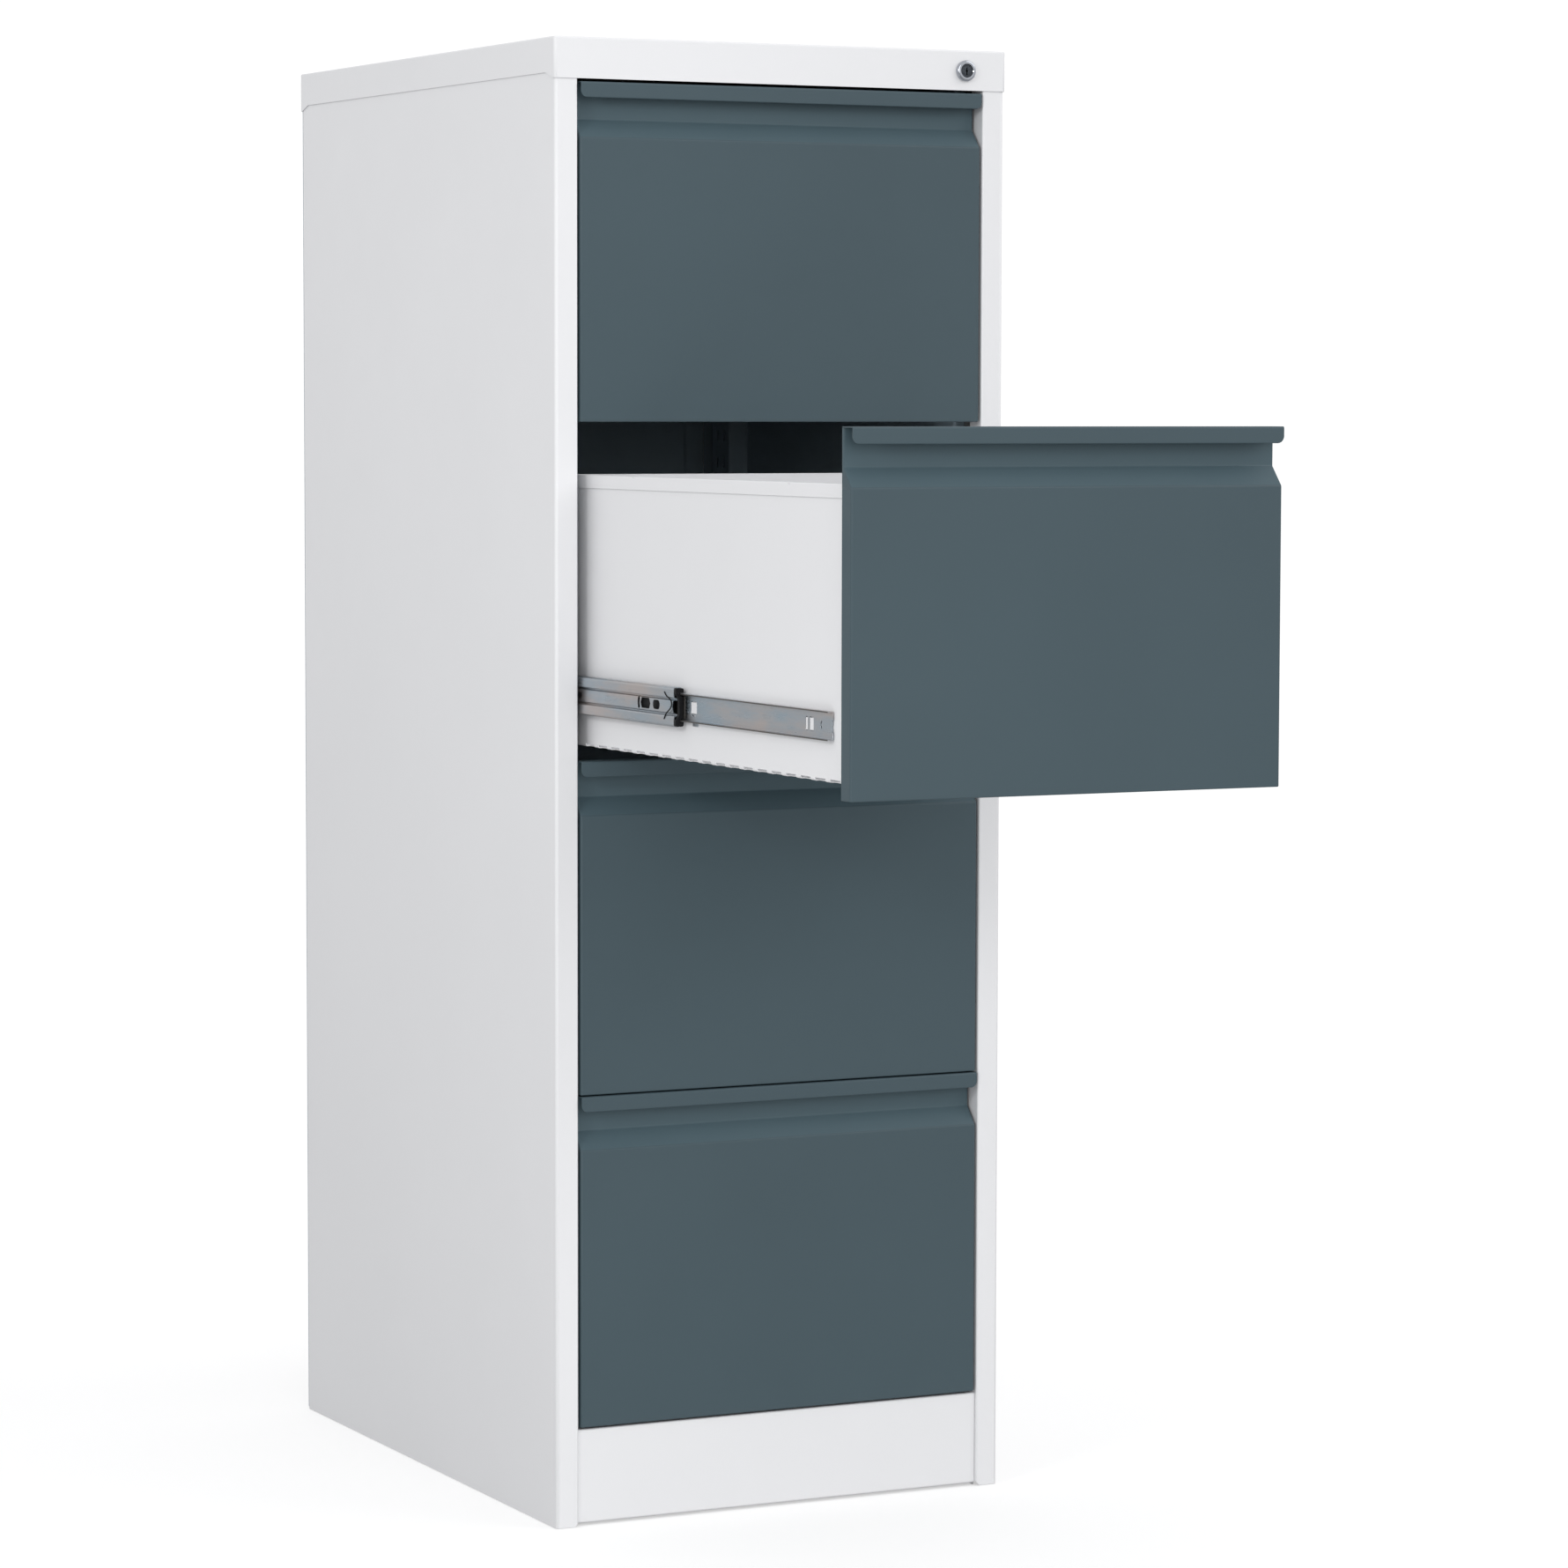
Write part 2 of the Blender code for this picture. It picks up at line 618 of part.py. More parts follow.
def make_lock_plug(axis):
    """Plug with a key slot in its face and a thin tail for the cam."""
    face = LOCK_PROUD - PLUG_SUNK
    shoulder = 2 * CLEARANCE - CAM_Y
    tail_end = CAM_Y + CAM_SHEET + TAIL_PROUD
    plug = turned("lock_plug", [
        (0.0, face), (PLUG_RADIUS - PLUG_CHAMFER, face), (PLUG_RADIUS, face - PLUG_CHAMFER),
        (PLUG_RADIUS, shoulder), (TAIL_RADIUS, shoulder), (TAIL_RADIUS, -tail_end),
        (0.0, -tail_end)], False, LOCK_STEEL, axis)
    plug.rotation_euler = OUTWARD
    width, height = KEY_SLOT
    slot = box_bmesh((-width / 2, -2 * LOCK_PROUD, -height / 2),
                     (width / 2, KEY_SLOT_DEPTH, height / 2))
    boolean(plug, add_cutter("key_slot", slot, axis))


def make_lock_nut(axis):
    near = COVER_SHEET + CLEARANCE
    far = near + LOCK_NUT_HEIGHT
    bm = cylinder_bmesh(LOCK_NUT_RADIUS, (0.0, near, 0.0), (0.0, far, 0.0), "Y", 6)
    nut = add_object("lock_nut", bm, ZINC, axis)
    bore = cylinder_bmesh(LOCK_BORE + CLEARANCE, (0.0, 0.0, 0.0), (0.0, far + near, 0.0), "Y")
    boolean(nut, add_cutter("nut_bore", bore, axis))


def make_lock_cam(axis):
    """Teardrop plate on the plug's tail, with the pin that drives the bar."""
    pin = (PIN_OFFSET, PIN_OFFSET)
    far = CAM_Y + CAM_SHEET
    outline = arc((0.0, 0.0), CAM_RADIUS, 135, 315, 10) + arc(pin, CAM_NOSE_RADIUS, -45, 135, 6)
    cam = add_object("lock_cam", prism_bmesh(outline, "Y", (CAM_Y, far)), LOCK_STEEL, axis)
    bore_ends = (0.0, CAM_Y - CAM_SHEET, 0.0), (0.0, far + CAM_SHEET, 0.0)
    bore = cylinder_bmesh(TAIL_RADIUS + PLUG_PLAY, *bore_ends, "Y")
    boolean(cam, add_cutter("cam_hole", bore, axis))
    start = (pin[0], (CAM_Y + far) / 2, pin[1])
    end = (pin[0], BAR_FRONT_Y + BAR_THICKNESS, pin[1])
    stud = cylinder_bmesh(PIN_RADIUS, start, end, "Y", 20)
    boolean(cam, add_cutter("cam_pin", stud, axis), "UNION")


def make_lock_bar():
    """Flat bar behind the right stile, with a slotted crank at its top for the cam's pin."""
    front, back = FRONT_Y + BAR_FRONT_Y, FRONT_Y + BAR_BACK_Y
    crank_z = LOCK_Z + PIN_OFFSET
    top = crank_z + CRANK_HALF_HEIGHT
    bar = add_object("lock_bar", box_bmesh((BAR_X, front, BAR_BOTTOM),
                                           (BAR_X + BAR_THICKNESS, back, top)), ZINC, CABINET)
    crank = box_bmesh((LOCK_X, front, crank_z - CRANK_HALF_HEIGHT),
                      (BAR_X + BAR_THICKNESS / 2, front + CAM_SHEET, top - CLEARANCE))
    boolean(bar, add_cutter("bar_crank", crank, CABINET), "UNION")
    reach = PIN_OFFSET * 2 ** 0.5
    room = PIN_RADIUS + PIN_PLAY
    slot = box_bmesh((LOCK_X + PIN_OFFSET - room, front - CAM_SHEET, crank_z - room),
                     (LOCK_X + reach + room, front + 2 * CAM_SHEET, crank_z + room))
    boolean(bar, add_cutter("crank_slot", slot, CABINET))


def make_lock_hook(number):
    """Angle riveted to the bar, whose tab drops in front of the drawer's catch."""
    flange_x = BAR_X - CLEARANCE - HOOK_SHEET / 2
    tab_y = FRONT_Y + BAR_BACK_Y - HOOK_SHEET / 2 - CLEARANCE
    path = [(flange_x, FRONT_Y + BAR_FRONT_Y + HOOK_SHEET), (flange_x, tab_y), (HOOK_TIP_X, tab_y)]
    low = drawer_bottom(number) + CATCH_Z + HOOK_RISE
    folded_sheet(f"lock_hook_{number}", fillet(path, 0.0010), "Z", (low, low + HOOK_HEIGHT),
                 HOOK_SHEET, ZINC, CABINET)


def make_lock_bar_guide():
    """Bracket from the front post that wraps the bar's front edge."""
    low = (drawer_bottom(2) + drawer_bottom(1)) / 2
    near = FRONT_Y + FRONT_UPRIGHT_Y - CLEARANCE - GUIDE_SHEET / 2
    front = FRONT_Y + BAR_FRONT_Y - GUIDE_SHEET
    outer_x = BAR_X + BAR_THICKNESS + 2 * GUIDE_SHEET
    inner_x = BAR_X - 1.2 * GUIDE_SHEET
    path = [(outer_x + 8.5 * GUIDE_SHEET, near), (outer_x, near), (outer_x, front), (inner_x, front),
            (inner_x, front + 10 * GUIDE_SHEET)]
    folded_sheet("lock_bar_guide", fillet(path, 0.0010), "Z", (low, low + GUIDE_HEIGHT), GUIDE_SHEET,
                 ZINC, CABINET)


# ---------------------------------------------------------------- assembly
clear_scene()
PARTS = new_collection("filing_cabinet")
CUTTERS = new_collection("cutters")
CABINET = new_empty("cabinet", (0.0, OPEN_Y / 2, 0.0))
make_carcass()
for drawer_number in range(1, DRAWERS + 1):
    make_drawer(drawer_number)
make_lock()
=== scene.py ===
from math import cos, pi, radians, sin, sqrt, tan

import bmesh
import bpy
from mathutils import Matrix, Vector


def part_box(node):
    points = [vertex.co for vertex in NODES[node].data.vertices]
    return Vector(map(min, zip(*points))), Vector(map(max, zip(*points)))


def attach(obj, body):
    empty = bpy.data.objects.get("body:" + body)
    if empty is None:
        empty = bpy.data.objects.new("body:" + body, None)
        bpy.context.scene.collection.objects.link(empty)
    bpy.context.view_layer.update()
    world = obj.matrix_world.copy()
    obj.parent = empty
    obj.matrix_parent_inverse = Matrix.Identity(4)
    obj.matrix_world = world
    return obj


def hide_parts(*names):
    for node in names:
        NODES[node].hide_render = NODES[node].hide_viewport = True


# Looks of the four-drawer filing cabinet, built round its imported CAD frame. Lengths are metres in
# the row frame: +Z up, drawers open towards -Y. A shape that repeats is built once about a local
# origin and stamped at each place.

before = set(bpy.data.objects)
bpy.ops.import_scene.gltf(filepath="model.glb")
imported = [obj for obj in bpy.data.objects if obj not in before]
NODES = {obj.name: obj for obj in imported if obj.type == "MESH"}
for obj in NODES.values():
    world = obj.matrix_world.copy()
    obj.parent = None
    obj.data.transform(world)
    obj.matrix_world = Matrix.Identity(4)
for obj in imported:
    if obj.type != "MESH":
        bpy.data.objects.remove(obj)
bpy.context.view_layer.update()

# ---------------------------------------------------------------- places read from the frame
COVER_LOW, COVER_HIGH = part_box("top_cover")
MID_Y = (COVER_LOW.y + COVER_HIGH.y) / 2
FRONT_Y, REAR_Y, TOP_Z = COVER_LOW.y, COVER_HIGH.y, COVER_HIGH.z
HALF_WIDTH = COVER_HIGH.x
LIP_PROUD = 0.0025
NUMBERS = (1, 2, 3, 4)
SIDES = ((-1, "left"), (1, "right"))
DRAWER = {}
for number in NUMBERS:
    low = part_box(f"drawer_front_{number}")[0]
    DRAWER[number] = Vector((0.0, low.y + LIP_PROUD, low.z))

# ---------------------------------------------------------------- dimensions
SHEET = 0.0007
FACE_SETBACK = 0.0012
PANEL_X = HALF_WIDTH - FACE_SETBACK
STILE_INNER_X = 0.203
STILE_RETURN = 0.022
STILE_HEM = 0.007
PANEL_TOP = TOP_Z - 0.0015
FASCIA_BOTTOM = 1.2935
SKIRT_BOTTOM = 1.2988
SKIRT_RAMP = 0.016
BACK_Y = REAR_Y - 0.0027 + SHEET / 2       # middle of the back sheet

FRONT_HALF = 0.2006
FRONT_HEIGHT = 0.2995
FRONT_DEPTH = 0.0175
FRONT_SHEET = 0.0009
FRONT_FLANGE = 0.011
LIP_HEIGHT = 0.0140
LIP_CORNER = 0.0062

BIN_HALF = 0.18965
BIN_FLOOR = 0.0120
BIN_TOP = 0.25315
BIN_FRONT = 0.0182
BIN_BACK = 0.5780

FLAT_WIDTH = 0.0022          # wider faces are flat sheet, and are shaded flat
SHARP_ANGLE = radians(34)    # an edge that turns more is shaded as an edge

SLIDE_START = 0.0493
SLIDE_Z = 0.0580
SLIDE_LENGTH = 0.5450
RAIL_FACE = 0.2027

# light: sky and suns as strengths, lamps in watts
SKY = 0.86
LOW_KEY = 0.64
HIGH_KEY = 0.60
BOX_POWER = 13.0
FILL_POWER = 2.8
FLOOR_GLOW = 0.52
SUNS = (("low_key", LOW_KEY, -14, 10), ("high_key", HIGH_KEY, 52, 30))
LAMPS = (("side_box", BOX_POWER, 0.6, (-2.35, -1.45, 1.75), (0.0, 0.2, 0.9)),
         ("floor_fill", FILL_POWER, 0.5, (-0.80, -1.25, 0.10), (0.0, 0.0, 0.25)))


# ---------------------------------------------------------------- mesh helpers
def new_object(name, data):
    piece = bpy.data.objects.new(name, data)
    bpy.context.scene.collection.objects.link(piece)
    return piece


def to_mesh(bm, fix=True):
    if fix:
        bmesh.ops.recalc_face_normals(bm, faces=bm.faces[:])
    mesh = bpy.data.meshes.new("part")
    bm.to_mesh(mesh)
    bm.free()
    return mesh


def fillet(path, radius, steps=5, closed=False):
    """Replace each inner corner of a 2-D path by a tangent arc."""
    points = [Vector(point) for point in path]
    count = len(points)
    result = []
    for i, point in enumerate(points):
        size = radius[i] if isinstance(radius, (list, tuple)) else radius
        if (not closed and i in (0, count - 1)) or size <= 0:
            result.append(point)
            continue
        before = (points[i - 1] - point).normalized()
        after = (points[(i + 1) % count] - point).normalized()
        half = before.angle(after) / 2
        if half > pi / 2 - 0.01:
            result.append(point)
            continue
        centre = point + (before + after).normalized() * (size / sin(half))
        first = point + before * (size / tan(half)) - centre
        last = point + after * (size / tan(half)) - centre
        sweep_angle = first.angle_signed(last)
        for step in range(steps + 1):
            a = -sweep_angle * step / steps
            result.append(centre + Vector((first.x * cos(a) - first.y * sin(a),
                                           first.x * sin(a) + first.y * cos(a))))
    return result


def place(point, along, axis):
    """A 2-D point as a 3-D one: X paths hold (y, z), Y paths (x, z), Z paths (x, y)."""
    if axis == "X":
        return Vector((along, point[0], point[1]))
    if axis == "Y":
        return Vector((point[0], along, point[1]))
    return Vector((point[0], point[1], along))


def box_bm(low, high, bm=None):
    bm = bm or bmesh.new()
    made = bmesh.ops.create_cube(bm, size=1.0)["verts"]
    for vert in made:
        vert.co = Vector([low[i] + (vert.co[i] + 0.5) * (high[i] - low[i]) for i in range(3)])
    return bm


def bridge(bm, first, second, closed=True):
    """Join two rows of vertices by faces."""
    for i in range(len(first) if closed else len(first) - 1):
        j = (i + 1) % len(first)
        bm.faces.new((first[i], first[j], second[j], second[i]))


def prism_bm(outline, axis, span, bm=None):
    """A closed outline run straight from span[0] to span[1]."""
    bm = bm or bmesh.new()
    near = [bm.verts.new(place(p, span[0], axis)) for p in outline]
    far = [bm.verts.new(place(p, span[1], axis)) for p in outline]
    count = len(outline)
    faces = [bm.faces.new(near), bm.faces.new(list(reversed(far)))]
    faces += [bm.faces.new((near[i], far[i], far[(i + 1) % count], near[(i + 1) % count]))
              for i in range(count)]
    bmesh.ops.recalc_face_normals(bm, faces=faces)
    return bm


def circle(centre, radius, steps):
    return [(centre[0] + radius * cos(2 * pi * i / steps),
             centre[1] + radius * sin(2 * pi * i / steps)) for i in range(steps)]


def slot_outline(low, high, radius, steps=4):
    """A rectangle with rounded corners, as a list of 2-D points."""
    corners = [(low[0], low[1]), (high[0], low[1]), (high[0], high[1]), (low[0], high[1])]
    return fillet(corners, radius, steps, closed=True)


def sheet_piece(path, axis, span, thickness):
    """Sheet folded along a path and run straight from span[0] to span[1]."""
    bm = bmesh.new()
    rows = [[bm.verts.new(place(p, along, axis)) for p in path] for along in span]
    bridge(bm, rows[0], rows[1], closed=False)
    piece = new_object("sheet", to_mesh(bm))
    solidify(piece, thickness)
    return piece


def solidify(piece, thickness, offset=0.0):
    modifier = piece.modifiers.new("Sheet", "SOLIDIFY")
    modifier.thickness = thickness
    modifier.offset = offset
    modifier.use_even_offset = True


def cut(piece, bm):
    cutter = new_object("cutter", to_mesh(bm))
    cutter.hide_render = True
    modifier = piece.modifiers.new("Cut", "BOOLEAN")
    modifier.operation = "DIFFERENCE"
    modifier.solver = "EXACT"
    modifier.object = cutter


def soften(piece, width=0.00015, segments=2):
    """Round off the edges of a piece that turn by more than 38 degrees."""
    modifier = piece.modifiers.new("Edge", "BEVEL")
    modifier.width = width
    modifier.segments = segments
    modifier.limit_method = "ANGLE"
    modifier.angle_limit = radians(38)
    modifier.use_clamp_overlap = True


def softened(bm, width, segments):
    piece = new_object("solid", to_mesh(bm))
    soften(piece, width, segments)
    return bake(piece)


def bake(piece):
    """The piece's finished mesh; the piece and its cutters are removed."""
    bpy.context.view_layer.update()
    evaluated = piece.evaluated_get(bpy.context.evaluated_depsgraph_get())
    mesh = bpy.data.meshes.new_from_object(evaluated)
    cutters = [m.object for m in piece.modifiers if m.type == "BOOLEAN"]
    for item in cutters + [piece]:
        bpy.data.objects.remove(item, do_unlink=True)
    mesh.materials.clear()
    return mesh


def join(*meshes):
    bm = bmesh.new()
    for mesh in meshes:
        bm.from_mesh(mesh)
    return to_mesh(bm, fix=False)


def moved(mesh, matrix):
    """A copy of a mesh moved by a matrix or a vector."""
    if isinstance(matrix, Vector):
        matrix = Matrix.Translation(matrix)
    copy = mesh.copy()
    copy.transform(matrix)
    if matrix.determinant() < 0:
        copy.flip_normals()
    return copy


def array(mesh, matrices):
    return join(*[moved(mesh, matrix) for matrix in matrices])


def stamp(mesh, name, body, materials, at=None, mirror=False, stands_for=()):
    """Make the shown piece: a copy of the mesh at its place, riding on a body."""
    matrix = Matrix.Translation(at or Vector())
    if mirror:
        matrix = matrix @ Matrix.Scale(-1, 4, (1, 0, 0))
    mesh = moved(mesh, matrix)
    mesh.name = name
    for material in materials:
        mesh.materials.append(material)
    mesh.shade_smooth()
    mesh.set_sharp_from_angle(angle=SHARP_ANGLE)
    for polygon in mesh.polygons:
        points = [mesh.vertices[i].co for i in polygon.vertices]
        around = sum((a - b).length for a, b in zip(points, points[1:] + points[:1]))
        polygon.use_smooth = polygon.area / around < FLAT_WIDTH / 2
    piece = new_object(name, mesh)
    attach(piece, body)
    if stands_for:
        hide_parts(*stands_for)


def lathe(profile, steps, ring=False):
    """A solid of revolution about Z: (radius, height) points that end on the axis, or a ring's."""
    bm = bmesh.new()
    rings = []
    for radius, height in profile:
        if radius < 1e-6:
            rings.append([bm.verts.new((0.0, 0.0, height))])
        else:
            rings.append([bm.verts.new((x, y, height)) for x, y in circle((0, 0), radius, steps)])
    for a, b in zip(rings, rings[1:] + rings[:1] if ring else rings[1:]):
        for i in range(steps):
            j = (i + 1) % steps
            corners = [a[i % len(a)], a[j % len(a)], b[j % len(b)], b[i % len(b)]]
            unique = []
            for corner in corners:
                if corner not in unique:
                    unique.append(corner)
            bm.faces.new(unique)
    return to_mesh(bm)


def paint_faces(mesh, index, test):
    for polygon in mesh.polygons:
        if test(polygon):
            polygon.material_index = index


TOWARD_FRONT = Matrix.Rotation(radians(90), 4, "X")


def facing(direction):
    """Turn a mesh built about Z so that its top faces the direction."""
    return Vector((0, 0, 1)).rotation_difference(Vector(direction)).to_matrix().to_4x4()


# ---------------------------------------------------------------- materials
def start_material(name, roughness, metallic=0.0):
    material = bpy.data.materials.new(name)
    material.use_nodes = True
    tree = material.node_tree
    shader = tree.nodes["Principled BSDF"]
    shader.inputs["Roughness"].default_value = roughness
    shader.inputs["Metallic"].default_value = metallic
    coordinates = tree.nodes.new("ShaderNodeTexCoord").outputs["Object"]
    return material, tree, shader, coordinates


def noise(tree, vector, scale, detail, rough=0.5, stretch=None):
    if stretch:
        mapping = tree.nodes.new("ShaderNodeMapping")
        mapping.inputs["Scale"].default_value = stretch
        tree.links.new(vector, mapping.inputs["Vector"])
        vector = mapping.outputs["Vector"]
    node = tree.nodes.new("ShaderNodeTexNoise")
    node.inputs["Scale"].default_value = scale
    node.inputs["Detail"].default_value = detail
    node.inputs["Roughness"].default_value = rough
    tree.links.new(vector, node.inputs["Vector"])
    return node.outputs["Fac"]


def remap(tree, value, low, high, to_low=0.0, to_high=1.0):
    node = tree.nodes.new("ShaderNodeMapRange")
    for socket, number in (("From Min", low), ("From Max", high), ("To Min", to_low),
                           ("To Max", to_high)):
        node.inputs[socket].default_value = number
    tree.links.new(value, node.inputs["Value"])
    return node.outputs["Result"]


def blend_colours(tree, factor, first, second):
    node = tree.nodes.new("ShaderNodeMix")
    node.data_type = "RGBA"
    tree.links.new(factor, node.inputs["Factor"])
    for socket, value in (("A", first), ("B", second)):
        target = next(s for s in node.inputs if s.name == socket and s.type == "RGBA")
        if isinstance(value, tuple):
            target.default_value = (*value, 1.0)
        else:
            tree.links.new(value, target)
    return next(s for s in node.outputs if s.type == "RGBA")


def maths(tree, operation, first, second):
    node = tree.nodes.new("ShaderNodeMath")
    node.operation = operation
    for i, value in enumerate((first, second)):
        if isinstance(value, (int, float)):
            node.inputs[i].default_value = value
        else:
            tree.links.new(value, node.inputs[i])
    return node.outputs[0]


def add_bump(tree, shader, height, strength, distance):
    node = tree.nodes.new("ShaderNodeBump")
    node.inputs["Strength"].default_value = strength
    node.inputs["Distance"].default_value = distance
    tree.links.new(height, node.inputs["Height"])
    tree.links.new(node.outputs["Normal"], shader.inputs["Normal"])


def scaled(colour, factor):
    return tuple(channel * factor for channel in colour)


def powder_coat(name, colour, roughness, specular, grain, spread):
    """Baked powder paint: faint cloudiness, fine flecks, orange peel and an uneven sheen."""
    material, tree, shader, xyz = start_material(name, roughness)
    shader.inputs["Specular IOR Level"].default_value = specular
    clouds = remap(tree, noise(tree, xyz, 5.0, 3.0), 0.3, 0.7)
    base = blend_colours(tree, clouds, scaled(colour, 1 - spread), scaled(colour, 1 + spread))
    flecks = remap(tree, noise(tree, xyz, 1900.0, 1.0), 0.60, 0.74, 0.0, 0.5)
    base = blend_colours(tree, flecks, base, scaled(colour, 1 + 4 * spread))
    scuffs = remap(tree, noise(tree, xyz, 38.0, 5.0, 0.65, (1.0, 1.0, 0.35)), 0.62, 0.80, 0.0, 0.35)
    base = blend_colours(tree, scuffs, base, scaled(colour, 1 - 2.2 * spread))
    tree.links.new(base, shader.inputs["Base Color"])
    sheen = noise(tree, xyz, 22.0, 4.0, 0.6)
    tree.links.new(remap(tree, sheen, 0.3, 0.7, roughness - 0.05, roughness + 0.06),
                   shader.inputs["Roughness"])
    peel = maths(tree, "MULTIPLY", noise(tree, xyz, 420.0, 2.0), 0.7)
    fine = maths(tree, "MULTIPLY", noise(tree, xyz, 1600.0, 2.0), 0.3)
    add_bump(tree, shader, maths(tree, "ADD", peel, fine), grain, 0.00012)
    return material


def plated_steel(name, first, second, roughness, scratch=0.3):
    """Zinc-plated strip: mottled passivation drawn out along the rolling direction, fine lines."""
    material, tree, shader, xyz = start_material(name, roughness, 0.92)
    mottle = noise(tree, xyz, 46.0, 4.0, 0.6, (1.0, 0.20, 1.0))
    tint = blend_colours(tree, remap(tree, mottle, 0.36, 0.64), first, second)
    stains = remap(tree, noise(tree, xyz, 190.0, 3.0, 0.6, (1.0, 0.25, 1.0)), 0.6, 0.78, 0.0, 0.4)
    tint = blend_colours(tree, stains, tint, scaled(first, 0.72))
    lines = noise(tree, xyz, 900.0, 2.0, 0.5, (1.0, 0.02, 1.0))
    tint = blend_colours(tree, remap(tree, lines, 0.58, 0.75, 0.0, 0.25), tint, scaled(first, 1.25))
    tree.links.new(tint, shader.inputs["Base Color"])
    gloss = maths(tree, "ADD", remap(tree, lines, 0.3, 0.7, -0.06, 0.08),
                  remap(tree, mottle, 0.3, 0.7, roughness - 0.05, roughness + 0.08))
    tree.links.new(gloss, shader.inputs["Roughness"])
    add_bump(tree, shader, lines, scratch, 0.00004)
    return material


def polished_metal(name, colour, roughness):
    """Nickel-chrome plate with faint handling marks."""
    material, tree, shader, xyz = start_material(name, roughness, 1.0)
    marks = noise(tree, xyz, 700.0, 4.0, 0.6)
    tree.links.new(blend_colours(tree, remap(tree, marks, 0.55, 0.8), colour, scaled(colour, 0.86)),
                   shader.inputs["Base Color"])
    tree.links.new(remap(tree, marks, 0.35, 0.75, roughness - 0.03, roughness + 0.08),
                   shader.inputs["Roughness"])
    add_bump(tree, shader, noise(tree, xyz, 2600.0, 1.0), 0.08, 0.00002)
    return material


def moulded_plastic(name, colour, roughness):
    material, tree, shader, xyz = start_material(name, roughness)
    shader.inputs["Specular IOR Level"].default_value = 0.15
    grain = noise(tree, xyz, 1500.0, 3.0, 0.6)
    dust = remap(tree, noise(tree, xyz, 120.0, 4.0, 0.6), 0.55, 0.8, 0.0, 0.5)
    tree.links.new(blend_colours(tree, dust, colour, scaled(colour, 2.1)),
                   shader.inputs["Base Color"])
    tree.links.new(remap(tree, grain, 0.3, 0.7, roughness - 0.06, roughness + 0.10),
                   shader.inputs["Roughness"])
    add_bump(tree, shader, grain, 0.25, 0.00008)
    return material


WHITE = powder_coat("paint_white", (0.770, 0.772, 0.785), 0.42, 0.5, 0.18, 0.008)
SLATE = powder_coat("paint_slate", (0.0540, 0.0835, 0.0985), 0.50, 0.30, 0.30, 0.03)
# Lighter copy of the slate, about a quarter brighter, for the finger recess: painted light that
# offsets the recess's shade.
SLATE_PAINTED_LIGHT = powder_coat("paint_slate_painted_light", (0.066, 0.105, 0.124), 0.50, 0.30, 0.30, 0.03)
INSIDE = powder_coat("paint_slate_inside", (0.34, 0.42, 0.47), 0.60, 0.20, 0.30, 0.03)
ZINC = plated_steel("zinc_strip", (0.35, 0.42, 0.475), (0.49, 0.45, 0.435), 0.32)
ZINC_DULL = plated_steel("zinc_sheet", (0.33, 0.34, 0.35), (0.38, 0.37, 0.35), 0.48, 0.2)
# Dark steel: the bare cut edges of the slides' flanges, made darker as painted shade, and a plate
# of painted shade inside the middle members' front ends.
CUT_EDGE_AND_SHADE = plated_steel("steel_cut_edge_and_shade", (0.11, 0.105, 0.10), (0.16, 0.15, 0.14), 0.45)
CHROME = polished_metal("chrome_plate", (0.44, 0.46, 0.50), 0.08)
LOCK_STEEL = polished_metal("lock_dark_steel", (0.070, 0.078, 0.090), 0.24)
BLACK = moulded_plastic("black_nylon", (0.008, 0.008, 0.009), 0.46)


# ---------------------------------------------------------------- carcass
def make_cover():
    """Cap with rounded rims and a relieved skirt; its front skirt is the fascia."""
    size = Vector((HALF_WIDTH, (REAR_Y - FRONT_Y) / 2, 0))
    bm = box_bm((-size.x, -size.y, FASCIA_BOTTOM), (size.x, size.y, TOP_Z))
    upright = [e for e in bm.edges if abs(e.verts[0].co.z - e.verts[1].co.z) > 0.01]
    bmesh.ops.bevel(bm, geom=upright, offset=0.0028, segments=6, profile=0.5, affect="EDGES")
    rim = [e for e in bm.edges if min(v.co.z for v in e.verts) > TOP_Z - 0.0001]
    bmesh.ops.bevel(bm, geom=rim, offset=0.0016, segments=5, profile=0.5, affect="EDGES")
    under = [f for f in bm.faces if f.normal.z < -0.9]
    bmesh.ops.delete(bm, geom=under, context="FACES")
    cover = new_object("cover", to_mesh(bm))
    solidify(cover, 0.0009, -1.0)
    low = FASCIA_BOTTOM - 0.002
    end = size.y - 0.004
    outline = [(-end, low), (end, low), (end, FASCIA_BOTTOM), (end - SKIRT_RAMP, SKIRT_BOTTOM),
               (SKIRT_RAMP - end, SKIRT_BOTTOM), (-end, FASCIA_BOTTOM)]
    outline = fillet(outline, [0, 0, 0, 0.006, 0.006, 0], closed=True)
    cut(cover, prism_bm(outline, "X", (-0.3, 0.3)))
    cut(cover, prism_bm(circle((LOCK.x, LOCK.z), 0.0083, 40), "Y", (-0.4, -0.2)))
    soften(cover)
    stamp(bake(cover), "cover_cap", "carcass", [WHITE], Vector((0, MID_Y, 0)),
          stands_for=["top_cover"])


